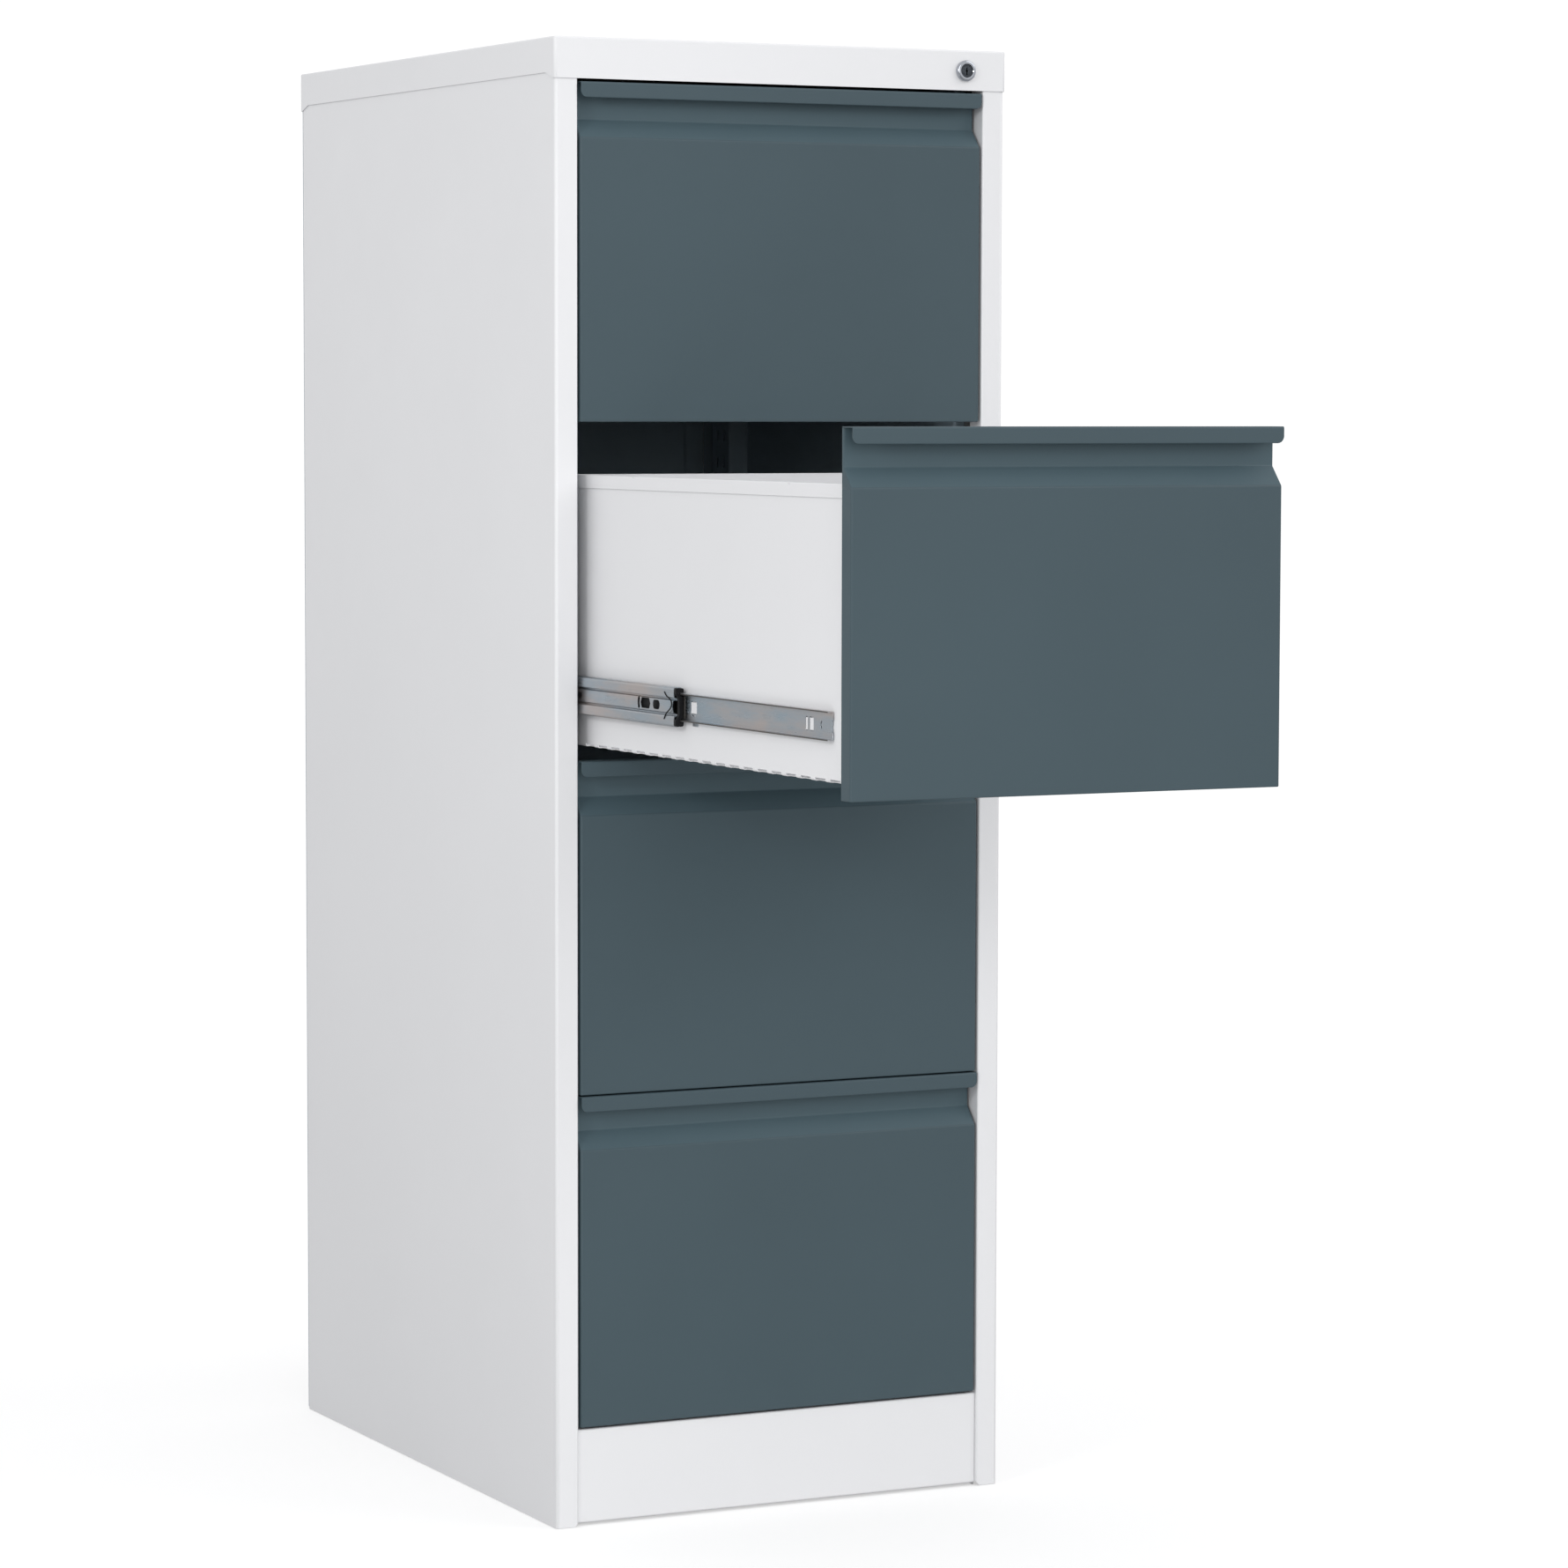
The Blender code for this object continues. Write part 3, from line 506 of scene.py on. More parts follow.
def make_side(side, word):
    """Side, front stile and its return folded from one sheet; white outside, dark inside."""
    outer, stile = PANEL_X - SHEET / 2, STILE_INNER_X + SHEET / 2
    front, rear = FRONT_Y + FACE_SETBACK + SHEET / 2, REAR_Y - 0.0038
    path = [(-PANEL_X + 0.012, rear), (-outer, rear), (-outer, front), (-stile, front),
            (-stile, front + STILE_RETURN), (-stile - STILE_HEM, front + STILE_RETURN)]
    path = fillet(path, [0, 0.0012, 0.0026, 0.0012, 0.0012, 0], 7)
    panel = sheet_piece(path, "Z", (0.0, PANEL_TOP), SHEET)
    corner = 0.0035
    foot = [(-PANEL_X + 0.0085, -0.001), (-stile + 0.003, -0.001), (-stile + 0.003, corner),
            (-stile, corner), (-stile - corner, 0.0)]
    cut(panel, prism_bm(foot, "Y", (front - 0.002, front + 0.006)))
    holes = bmesh.new()
    for number in NUMBERS:
        for height in (0.047, 0.069, 0.2455):
            z = DRAWER[number].z + height
            prism_bm(circle((front + 0.014, z), 0.0016, 16), "X", (-stile - 0.002, -stile + 0.002),
                     holes)
    cut(panel, holes)
    soften(panel, 0.00012)
    mesh = bake(panel)
    inner = -PANEL_X + SHEET
    paint_faces(mesh, 1, lambda p: p.normal.x > 0.9 and abs(p.center.x - inner) < 0.0002 or
                p.normal.y < -0.9 and p.center.y > rear - 0.002)
    stamp(mesh, f"side_{word}", "carcass", [WHITE, INSIDE], mirror=side > 0,
          stands_for=[f"side_panel_{word}"])


def make_plinth():
    y = FRONT_Y + 0.0042 + SHEET / 2
    top, bottom = 0.0875 - SHEET / 2, 0.0020 + SHEET / 2
    path = [(y + 0.018, top - 0.006), (y + 0.018, top), (y, top), (y, bottom), (y + 0.018, bottom)]
    half = STILE_INNER_X - 0.0003
    plinth = sheet_piece(fillet(path, 0.0016, 6), "X", (-half, half), SHEET)
    soften(plinth)
    stamp(bake(plinth), "plinth_panel", "carcass", [WHITE], stands_for=["plinth"])


def rounded_loop(centre, half, radius):
    loop, steps = [], 6
    for k, (sx, sy) in enumerate(((1, 1), (-1, 1), (-1, -1), (1, -1))):
        middle = (centre[0] + sx * (half[0] - radius), centre[1] + sy * (half[1] - radius))
        for step in range(steps + 1):
            a = radians(90 * (k + step / steps))
            loop.append((middle[0] + radius * cos(a), middle[1] + radius * sin(a)))
    return loop


def pressed_field(bm, centre, half, levels, place_at):
    """A rectangle of sheet pressed in steps; levels are (inset, corner radius, depth)."""
    rings = []
    for inset, radius, depth in levels:
        loop = rounded_loop(centre, (half[0] - inset, half[1] - inset), radius)
        rings.append([bm.verts.new(place_at(point, depth)) for point in loop])
    for a, b in zip(rings, rings[1:]):
        bridge(bm, a, b)
    bm.faces.new(rings[-1])


def make_back():
    """Rear sheet with two shallow pressed fields; white outside, dark inside."""
    half, low, high = PANEL_X - 0.0003, 0.002, PANEL_TOP
    bm = bmesh.new()
    levels = [(0.0, 0.0, 0.0), (0.030, 0.016, 0.0), (0.0312, 0.0155, 0.0003),
              (0.0340, 0.0140, 0.0019), (0.0355, 0.0130, 0.0022)]
    middle = (low + high) / 2
    for z0, z1 in ((low, middle), (middle, high)):
        pressed_field(bm, (0.0, (z0 + z1) / 2), (half, (z1 - z0) / 2), levels,
                      lambda p, depth: Vector((p[0], BACK_Y - depth, p[1])))
    bmesh.ops.remove_doubles(bm, verts=bm.verts[:], dist=0.00005)
    back = new_object("back", to_mesh(bm))
    if back.data.polygons[-1].normal.y < 0:
        back.data.flip_normals()
    solidify(back, SHEET, -1.0)
    mesh = bake(back)
    paint_faces(mesh, 1, lambda p: p.normal.y < -0.5)
    stamp(mesh, "back_sheet", "carcass", [WHITE, INSIDE], stands_for=["back_panel"])


def make_base():
    half, low, high = PANEL_X - SHEET - 0.0003, 0.050, 0.070
    front, rear = FRONT_Y + 0.024, REAR_Y - 0.005
    bm = box_bm((-half, front, low), (half, rear, high))
    edges = [e for e in bm.edges if min(v.co.z for v in e.verts) > high - 0.001]
    bmesh.ops.bevel(bm, geom=edges, offset=0.0014, segments=4, profile=0.5, affect="EDGES")
    bmesh.ops.delete(bm, geom=[f for f in bm.faces if f.normal.z < -0.9], context="FACES")
    base = new_object("base", to_mesh(bm))
    solidify(base, SHEET, -1.0)
    holes = bmesh.new()
    for x in (-0.17, 0.0, 0.17):
        for y in (front + 0.16, MID_Y, rear - 0.16):
            prism_bm(slot_outline((x - 0.012, y - 0.005), (x + 0.012, y + 0.005), 0.0049), "Z",
                     (0.06, 0.08), holes)
    cut(base, holes)
    stamp(bake(base), "base_pan", "carcass", [INSIDE], stands_for=["base_panel"])


def make_post(node, side, name):
    """Channel post with a ladder of slots that the slides' lances hook into."""
    low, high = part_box(node)
    sheet = 0.0012
    inner, outer = STILE_INNER_X + sheet / 2, PANEL_X - SHEET - 0.0003
    near, far = low.y + sheet / 2, high.y - sheet / 2
    path = [(-outer, near), (-inner, near), (-inner, far), (-outer, far)]
    post = sheet_piece(fillet(path, 0.0018, 5), "Z", (low.z, high.z), sheet)
    slots = bmesh.new()
    for row in range(44):
        z = 0.105 + row * 0.027
        for y in (-0.0075, 0.0075):
            middle = (near + far) / 2 + y
            prism_bm(slot_outline((middle - 0.002, z), (middle + 0.002, z + 0.012), 0.0015, 3), "X",
                     (-inner - 0.003, -inner + 0.003), slots)
    cut(post, slots)
    stamp(bake(post), name, "carcass", [INSIDE], mirror=side > 0,
          stands_for=[node])


def thread_profile(radius, low, high, pitch, depth):
    """Ridges down an axis as (radius, height) points, from the top."""
    points, z = [], high
    while z - pitch > low:
        points += [(radius, z), (radius, z - pitch * 0.35), (radius - depth, z - pitch * 0.7)]
        z -= pitch
    return points + [(radius, low)]


def make_feet():
    profile = [(0.0, 0.0688)] + thread_profile(0.0038, 0.0145, 0.0688, 0.0022, 0.0005)
    profile += [(0.0052, 0.0140), (0.0056, 0.0100), (0.0098, 0.0098), (0.0105, 0.0090),
                (0.0108, 0.0062), (0.0138, 0.0044), (0.0145, 0.0034), (0.0145, 0.0010),
                (0.0137, 0.0), (0.0080, 0.0), (0.0074, 0.0006), (0.0, 0.0006)]
    foot = lathe(profile, 40)
    for near in ("front", "rear"):
        for _, word in SIDES:
            node = f"levelling_foot_{near}_{word}"
            low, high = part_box(node)
            at = Vector(((low.x + high.x) / 2, (low.y + high.y) / 2, 0))
            stamp(foot, f"foot_{near}_{word}", "carcass", [BLACK], at,
                  stands_for=[node])


# ---------------------------------------------------------------- fasteners
def screw_mesh(radius, height):
    """Pan-head screw with a cross recess, its top facing +Z."""
    dome = [(0.0, height)] + [(radius * sin(radians(a)), height * (0.25 + 0.75 * cos(radians(a))))
                              for a in (25, 45, 62, 78, 90)]
    head = new_object("head", lathe(dome + [(radius, 0.0), (0.0, 0.0)], 28))
    arm, width = radius * 0.55, radius * 0.13
    for x, y in ((arm, width), (width, arm)):
        cut(head, box_bm((-x, -y, height * 0.35), (x, y, height * 2)))
    return bake(head)


def rivet_mesh(radius, height):
    """Blind rivet: a low dome with its mandrel hole."""
    return lathe([(0.0, height * 0.2), (radius * 0.30, height * 0.25), (radius * 0.36, height),
                  (radius * 0.66, height * 0.88), (radius * 0.90, height * 0.5), (radius, 0.0),
                  (0.0, -0.0002)], 24)


def make_carcass_fasteners():
    spots = [Vector((x, BACK_Y, z)) for x in (-0.215, 0.215)
             for z in (0.035, 0.25, 0.46, 0.665, 0.87, 1.08, 1.275)]
    spots += [Vector((x, BACK_Y, z)) for x in (-0.11, 0.0, 0.11) for z in (0.018, 1.285)]
    turn = facing((0, 1, 0))
    screws = array(screw_mesh(0.0036, 0.0014), [Matrix.Translation(p) @ turn for p in spots])
    stamp(screws, "back_screws", "carcass", [ZINC])
    rivets = []
    for side, _ in SIDES:
        for number in NUMBERS:
            for low in (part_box("front_upright_left")[0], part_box("rear_upright_left")[0]):
                for dz in (-0.0135, 0.0135):
                    spot = Vector((side * (RAIL_FACE - 0.0013), low.y + 0.020,
                                   DRAWER[number].z + SLIDE_Z + dz))
                    rivets.append(Matrix.Translation(spot) @ facing((-side, 0, 0)))
    stamp(array(rivet_mesh(0.0026, 0.0006), rivets), "rail_rivets", "carcass", [ZINC])


# ---------------------------------------------------------------- drawer fronts
def skin_row(front, inset, z):
    """One level of the front's outer skin, from its left rear corner round to the right one."""
    rear_radius, radius = 0.0015, 0.0018
    half, y = FRONT_HALF - inset, front + inset
    rear = max(rear_radius - inset, 0.0002)
    near = min(max(radius - inset, 0.0002), FRONT_DEPTH - rear_radius - y)
    left = []
    for step in range(4):
        a = radians(90 + 30 * step)
        left.append((-half + rear + rear * cos(a), FRONT_DEPTH - rear + rear * sin(a)))
    for step in range(7):
        a = radians(180 + 15 * step)
        left.append((-half + near + near * cos(a), y + near + near * sin(a)))
    row = left + [(-x, y) for x, y in reversed(left)]
    return [Vector((x, y, z)) for x, y in row]


def make_skin():
    """Face, pressed finger recess, side and bottom returns and rear flanges in one sheet."""
    bend = 0.0010
    top = FRONT_HEIGHT - FRONT_SHEET - 0.0002
    levels = []
    for step in range(5):
        a = radians(90 * step / 4)
        levels.append((0.0, bend * (1 - sin(a)), bend * (1 - cos(a))))
    side_view = fillet([(0.0, bend), (0.0, 0.2505), (0.0148, 0.2670), (0.0142, top)],
                       [0, 0.0028, 0.0020, 0], 6)
    levels += [(p.x, 0.0, p.y) for p in side_view[1:]]
    bm = bmesh.new()
    rows = [[bm.verts.new(point) for point in skin_row(*level)] for level in levels]
    for a, b in zip(rows, rows[1:]):
        bridge(bm, a, b, closed=False)
    bm.faces.new(list(reversed(rows[0])))
    inner_x = FRONT_HALF - FRONT_FLANGE
    limits = (FRONT_FLANGE, top - FRONT_FLANGE)
    for column, side in ((0, -1), (-1, 1)):
        rim = [row[column] for row in rows]
        flange = [bm.verts.new((side * inner_x, FRONT_DEPTH,
                                min(max(v.co.z, limits[0]), limits[1]))) for v in rim]
        bridge(bm, rim, flange, closed=False)
        if side < 0:
            kept = (rim[0], flange[0], rim[-1], flange[-1])
        else:
            bm.faces.new((kept[0], kept[1], flange[0], rim[0]))
            bm.faces.new((kept[2], rim[-1], flange[-1], kept[3]))
    bmesh.ops.remove_doubles(bm, verts=bm.verts[:], dist=0.00002)
    bmesh.ops.recalc_face_normals(bm, faces=bm.faces[:])
    face = max(bm.faces, key=lambda f: f.calc_area())
    if face.normal.y > 0:
        bmesh.ops.reverse_faces(bm, faces=bm.faces[:])
    skin = new_object("skin", to_mesh(bm, fix=False))
    solidify(skin, FRONT_SHEET, -1.0)
    holes = bmesh.new()
    for x in (-0.120, 0.120):
        prism_bm(circle((x, 0.0055), 0.0022, 16), "Y", (FRONT_DEPTH - 0.003, FRONT_DEPTH + 0.003),
                 holes)
    cut(skin, holes)
    mesh = bake(skin)
    # The recess wall and slope take the lighter slate: painted light against the shade in the
    # recess.
    paint_faces(mesh, 1, lambda p: p.center.z > 0.2516 and abs(p.center.x) < FRONT_HALF - 0.001
                and p.center.y < 0.0152 and (p.normal.z > 0.15 or p.normal.y < -0.7))
    return mesh


def make_lip():
    """The lip: the wall's sheet folded forward over the top and down, with a closed hem."""
    bend, hem = 0.0017, 0.00095
    low, high = FRONT_HEIGHT - LIP_HEIGHT, FRONT_HEIGHT
    rear = 0.0015
    rows = []
    for step in range(6):
        a = radians(90 * step / 5)
        rows.append((FRONT_DEPTH - rear + rear * cos(a), high, FRONT_HALF - rear + rear * sin(a)))
    for step in range(8):
        a = radians(90 + 90 * step / 7)
        rows.append((-LIP_PROUD + bend + bend * cos(a), high - bend + bend * sin(a), FRONT_HALF))

    def half_at(z):
        rise = max(min(LIP_CORNER - (z - low), LIP_CORNER), 0.0)
        return FRONT_HALF - (LIP_CORNER - sqrt(max(LIP_CORNER ** 2 - rise ** 2, 0.0)))

    for step in range(9):
        z = low + LIP_CORNER * (1 - sin(radians(80 * step / 8)))
        if z > low + hem:
            rows.append((-LIP_PROUD, z, half_at(z)))
    for step in range(6):
        a = radians(180 + 180 * step / 5)
        z = low + hem + hem * sin(a)
        rows.append((-LIP_PROUD + hem + hem * cos(a), z, half_at(z)))
    for step in range(5):
        z = low + hem + 0.0075 * (step + 1) / 5
        rows.append((-LIP_PROUD + 2 * hem, z, half_at(z) - 0.0003))
    bm = bmesh.new()
    ends = [[bm.verts.new((side * half, y, z)) for y, z, half in rows] for side in (-1, 1)]
    for i in range(len(rows) - 1):
        bm.faces.new((ends[0][i], ends[1][i], ends[1][i + 1], ends[0][i + 1]))
    bmesh.ops.recalc_face_normals(bm, faces=bm.faces[:])
    top = next(f for f in bm.faces if abs(f.normal.z) > 0.99)
    if top.normal.z < 0:
        bmesh.ops.reverse_faces(bm, faces=bm.faces[:])
    lip = new_object("lip", to_mesh(bm, fix=False))
    solidify(lip, FRONT_SHEET, -1.0)
    return bake(lip)


# ---------------------------------------------------------------- drawer bins
DASH_START, DASH_PITCH, DASH_LENGTH, DASHES = 0.0387, 0.0268, 0.0185, 19


def side_box(bm, side, near, far, low, high):
    """A box on one side of a drawer: x from near to far, (y, z) from low to high."""
    x0, x1 = sorted((side * near, side * far))
    box_bm((x0, *low), (x1, *high), bm)


def make_bin():
    """Floor and sides in one sheet with hems, slotted along both bottom bends."""
    fold, bend = 0.0006, 0.0015
    half, hem = BIN_HALF, BIN_HALF + 2 * fold
    left = [(-hem, 0.2420), (-hem, BIN_TOP), (-half, BIN_TOP), (-half, BIN_FLOOR)]
    swages = []
    for x in (-0.105, 0.0, 0.105):
        swages += [(x - 0.011, BIN_FLOOR), (x - 0.007, BIN_FLOOR + 0.0022),
                   (x + 0.007, BIN_FLOOR + 0.0022), (x + 0.011, BIN_FLOOR)]
    path = left + swages + [(-x, z) for x, z in reversed(left)]
    radii = [0, fold * 0.98, fold * 0.98, bend] + [0.0022] * len(swages)
    radii += [bend, fold * 0.98, fold * 0.98, 0]
    body = sheet_piece(fillet(path, radii, 5), "Y", (BIN_FRONT + 0.006, BIN_BACK), SHEET)
    slots = bmesh.new()
    for side in (-1, 1):
        for k in range(DASHES):
            y = DASH_START + k * DASH_PITCH
            side_box(slots, side, half + 0.002, half - 0.0045, (y, BIN_FLOOR - 0.002),
                     (y + DASH_LENGTH, BIN_FLOOR + 0.0024))
        for y, z in ((0.4354, 0.2518), (0.1300, 0.2518)):
            prism_bm(circle((y, z), 0.0012, 12), "X", (side * hem - 0.003, side * hem + 0.003),
                     slots)
    for k in range(19):
        y = 0.052 + k * DASH_PITCH
        for x in (-0.0525, 0.0525):
            prism_bm(slot_outline((x - 0.0028, y), (x + 0.0028, y + 0.014), 0.0027, 4), "Z",
                     (BIN_FLOOR - 0.002, BIN_FLOOR + 0.002), slots)
    cut(body, slots)
    soften(body, 0.00010, 1)
    mesh = bake(body)
    inner = BIN_HALF - SHEET - 0.0003
    path = [(-inner, 0.036), (-inner, BIN_FRONT + SHEET / 2), (inner, BIN_FRONT + SHEET / 2),
            (inner, 0.036)]
    wall = sheet_piece(fillet(path, 0.0014, 5), "Z", (BIN_FLOOR + 0.0010, 0.2848), SHEET)
    cut(wall, box_bm((-0.3, BIN_FRONT + 0.004, 0.2515), (0.3, 0.1, 0.4)))
    soften(wall, 0.00012, 1)
    return join(mesh, bake(wall))


def make_catch():
    """The tab behind which the lock bar's hook drops."""
    near = 0.0397 - FACE_SETBACK
    bm = box_bm((BIN_HALF, near, 0.1950), (0.1990, near + 0.0012, 0.2025))
    edges = [e for e in bm.edges if min(v.co.x for v in e.verts) > 0.198]
    bmesh.ops.bevel(bm, geom=edges, offset=0.0005, segments=2, profile=0.5, affect="EDGES")
    return to_mesh(bm)


def make_hooks():
    """Tabs lanced out of the bin's sides that hold the slides' inner members by their slots."""
    bm = bmesh.new()
    for low, high in INNER_SLOTS:
        for side in (-1, 1):
            side_box(bm, side, BIN_HALF + 0.0002, BIN_HALF + 0.0018,
                     (SLIDE_START + low[0] + 0.0004, SLIDE_Z + low[1] + 0.0004),
                     (SLIDE_START + high[0] - 0.0004, SLIDE_Z + high[1] - 0.0008))
    return to_mesh(bm)


def make_bin_back():
    """Rear wall with side flanges, four low slots and four round holes near the top."""
    half, y = BIN_HALF - SHEET - 0.0003, BIN_BACK - 0.0020
    path = [(-half, y - 0.012), (-half, y), (half, y), (half, y - 0.012)]
    wall = sheet_piece(fillet(path, 0.0014, 5), "Z", (BIN_FLOOR + 0.0010, 0.2535), SHEET)
    holes = bmesh.new()
    for x in (-0.12, -0.04, 0.04, 0.12):
        prism_bm(slot_outline((x - 0.018, 0.060), (x + 0.018, 0.068), 0.0038), "Y",
                 (y - 0.003, y + 0.003), holes)
        prism_bm(circle((x, 0.238), 0.0030, 20), "Y", (y - 0.003, y + 0.003), holes)
    cut(wall, holes)
    soften(wall, 0.00012, 1)
    return bake(wall)


def make_drawers():
    front = join(make_skin(), make_lip())
    body, catch, back = make_bin(), make_catch(), make_bin_back()
    body = join(body, catch, make_hooks())
    rivets = []
    for side, _ in SIDES:
        for y in (0.075, 0.215, 0.375, 0.540):
            spot = Vector((side * (BIN_HALF - SHEET / 2), y, SLIDE_Z))
            rivets.append(Matrix.Translation(spot) @ facing((-side, 0, 0)))
    tabs = bmesh.new()
    for y in (0.3050, 0.4800):
        for side, _ in SIDES:
            side_box(tabs, side, BIN_HALF + 0.0001, BIN_HALF + 0.0007, (y, 0.0425),
                     (y + 0.0105, 0.0462))
    rivets = join(array(rivet_mesh(0.0024, 0.0008), rivets), to_mesh(tabs))
    for number in NUMBERS:
        at, drawer = DRAWER[number], f"drawer_{number}"
        stamp(front, f"drawer_face_{number}", drawer, [SLATE, SLATE_PAINTED_LIGHT], at,
              stands_for=[f"drawer_front_{number}"])
        stamp(body, f"drawer_bin_{number}", drawer, [WHITE], at,
              stands_for=[f"drawer_tray_{number}"])
        stamp(back, f"drawer_rear_{number}", drawer, [WHITE], at,
              stands_for=[f"drawer_back_{number}"])
        stamp(rivets, f"bin_rivets_{number}", drawer, [ZINC], at)


# ---------------------------------------------------------------- slides
# Sections are (depth from the post's face, height from the slide's centre line).
OUTER_SECTION = [(0.0099, 0.0186), (0.0099, 0.0219), (0.0006, 0.0219)]
MIDDLE_SECTION = [(0.0098, 0.0142), (0.0098, 0.0167), (0.0025, 0.0167), (0.0025, 0.0080),
                  (0.0060, 0.0074), (0.0060, 0.0060), (0.0042, 0.0052)]
INNER_SECTION = [(0.0064, 0.0114), (0.0117, 0.0114)]
MIDDLE_START = 0.0195      # where a middle member's metal starts, behind its plastic end piece
INNER_SLOTS = [((0.2556, -0.0048), (0.2672, 0.0060)), ((0.0448, -0.0056), (0.0486, 0.0056)),
               ((0.0342, -0.0056), (0.0414, 0.0056))]


def depth_x(depth):
    return depth - RAIL_FACE


def rail(section, radii, thickness, start, end, holes):
    whole = section + [(depth, -height) for depth, height in reversed(section)]
    radii = radii + list(reversed(radii))
    path = [(depth_x(depth), height) for depth, height in whole]
    piece = sheet_piece(fillet(path, radii, 4), "Y", (start, end), thickness)
    cut(piece, holes)
    soften(piece, 0.00012, 1)
    return bake(piece)


def through(holes, outline):
    """A hole through a slide member's web."""
    prism_bm(outline, "X", (-RAIL_FACE - 0.001, -0.185), holes)


def arc_strip(centre, inner, outer, start, end):
    """A thin crescent as a closed outline, between two angles in degrees."""
    steps = 8

    def at(radius, k):
        a = radians(start + (end - start) * k / steps)
        return (centre[0] + radius * cos(a), centre[1] + radius * sin(a))
    return [at(outer, k) for k in range(steps + 1)] + [at(inner, steps - k)
                                                       for k in range(steps + 1)]


def hexagon(y, z, length, height):
    side, slope = length / 2, length * 0.38
    return [(y - side, z), (y - slope, z - height / 2), (y + slope, z - height / 2), (y + side, z),
            (y + slope, z + height / 2), (y - slope, z + height / 2)]


def make_rails():
    holes = bmesh.new()
    for k in range(9):
        y = 0.030 + k * 0.060
        through(holes, circle((y, 0.0), 0.0026, 20))
        through(holes, slot_outline((y + 0.022, -0.002), (y + 0.034, 0.002), 0.0019))
    outer = rail(OUTER_SECTION, [0, 0.0014, 0.0022], 0.0012, 0.0, SLIDE_LENGTH, holes)

    holes = bmesh.new()
    through(holes, hexagon(0.0808, 0.0006, 0.0205, 0.0092))
    through(holes, slot_outline((0.0515, -0.0036), (0.0655, 0.0044), 0.0038, 6))
    through(holes, arc_strip((0.0850, 0.0006), 0.0078, 0.0120, -30, 30))
    through(holes, [(0.0180, -0.0062), (0.0245, -0.0052), (0.0262, 0.0), (0.0245, 0.0052),
                    (0.0180, 0.0062)])
    for k in range(5):
        y = 0.215 + k * 0.066
        through(holes, slot_outline((y, -0.0024), (y + 0.012, 0.0024), 0.0023))
    middle = rail(MIDDLE_SECTION, [0, 0.0014, 0.0018, 0.0008, 0.0006, 0.0006, 0.0006], 0.0008,
                  MIDDLE_START, SLIDE_LENGTH, holes)

    holes = bmesh.new()
    for low, high in INNER_SLOTS:
        through(holes, slot_outline(low, high, 0.0005, 3))
    through(holes, slot_outline((0.2585, -0.0068), (0.2650, -0.0056), 0.0005, 3))
    through(holes, circle((0.2720, -0.0035), 0.0012, 16))
    through(holes, arc_strip((0.0180, 0.0), 0.0026, 0.0040, -62, 62))
    for k in range(5):
        through(holes, circle((0.330 + k * 0.045, 0.0), 0.0022, 20))
    through(holes, [(-0.001, 0.0050), (0.0016, 0.0042), (0.0007, 0.0014), (0.0020, -0.0010),
                    (0.0009, -0.0036), (0.0014, -0.0050), (-0.001, -0.0056)])
    inner = rail(INNER_SECTION, [0, 0.0010], 0.0011, 0.0, SLIDE_LENGTH, holes)
    edge = depth_x(0.0064)
    # The flange's cut edges take the dark steel: partly the bare steel of the cut, partly painted
    # shade along the flange.
    paint_faces(inner, 1, lambda p: p.center.x < edge + 0.0006)
    return outer, middle, inner


def make_stop():
    """Black nylon end piece of a middle member: two double bumpers joined by a curved neck."""
    upper = [(0.0022, 0.0114), (0.0022, 0.0163), (0.0052, 0.0166), (0.0059, 0.0156),
             (0.0066, 0.0166), (0.0098, 0.0163), (0.0098, 0.0125), (0.0060, 0.0123),
             (0.0058, 0.0104), (0.0092, 0.0088), (0.0092, 0.0)]
    lower = [(0.0058, 0.0), (0.0058, 0.0064), (0.0036, 0.0100)]
    outline = upper + [(d, -z) for d, z in reversed(upper[:-1])]
    outline += [(d, -z) for d, z in reversed(lower[1:])] + lower
    radii = [0.0004, 0.0014, 0.0012, 0.0004, 0.0012, 0.0016, 0.0008, 0.0006, 0.0006, 0.0016, 0.0]
    radii += list(reversed(radii[:-1])) + [0.0012, 0.0018, 0.0, 0.0018, 0.0012]
    outline = [(depth_x(d), z) for d, z in outline]
    stop = softened(prism_bm(fillet(outline, radii, 4, closed=True), "Y",
                             (0.0155, MIDDLE_START)), 0.0005, 3)
    points = [(0.0378, 0.0125), (0.0345, 0.0092), (0.0276, 0.0074), (0.0230, 0.0046),
              (0.0238, 0.0), (0.0300, -0.0036), (0.0352, -0.0062), (0.0384, -0.0108)]
    wire = tube([Vector((depth_x(0.0020), y, z)) for y, z in points], 0.00060)
    # A black plate behind the middle member's web holes, so that they read black: painted shade.
    hole_shade_plate = softened(box_bm((depth_x(0.0074), 0.0300, -0.0062),
                            (depth_x(0.0080), 0.1150, 0.0062)), 0.0002, 2)
    # A dark steel plate inside the front of the middle member: painted shade standing in for the
    # shade beneath the stop's end.
    end_shade_plate = softened(box_bm((depth_x(0.0094), 0.0120, -0.0096),
                             (depth_x(0.0100), 0.0400, 0.0096)), 0.0003, 2)
    paint_faces(end_shade_plate, 1, lambda p: True)
    return join(stop, wire, hole_shade_plate, end_shade_plate)


def tube(points, radius):
    """A round bar along a smooth curve through the points."""
    curve = bpy.data.curves.new("wire", "CURVE")
    curve.dimensions = "3D"
    curve.bevel_depth = radius
    curve.bevel_resolution = 3
    curve.use_fill_caps = True
    curve.resolution_u = 10
    spline = curve.splines.new("NURBS")
    spline.points.add(len(points) - 1)
    for knot, point in zip(spline.points, points):
        knot.co = (*point, 1.0)
    spline.order_u = 3
    spline.use_endpoint_u = True
    return bake(new_object("wire", curve))


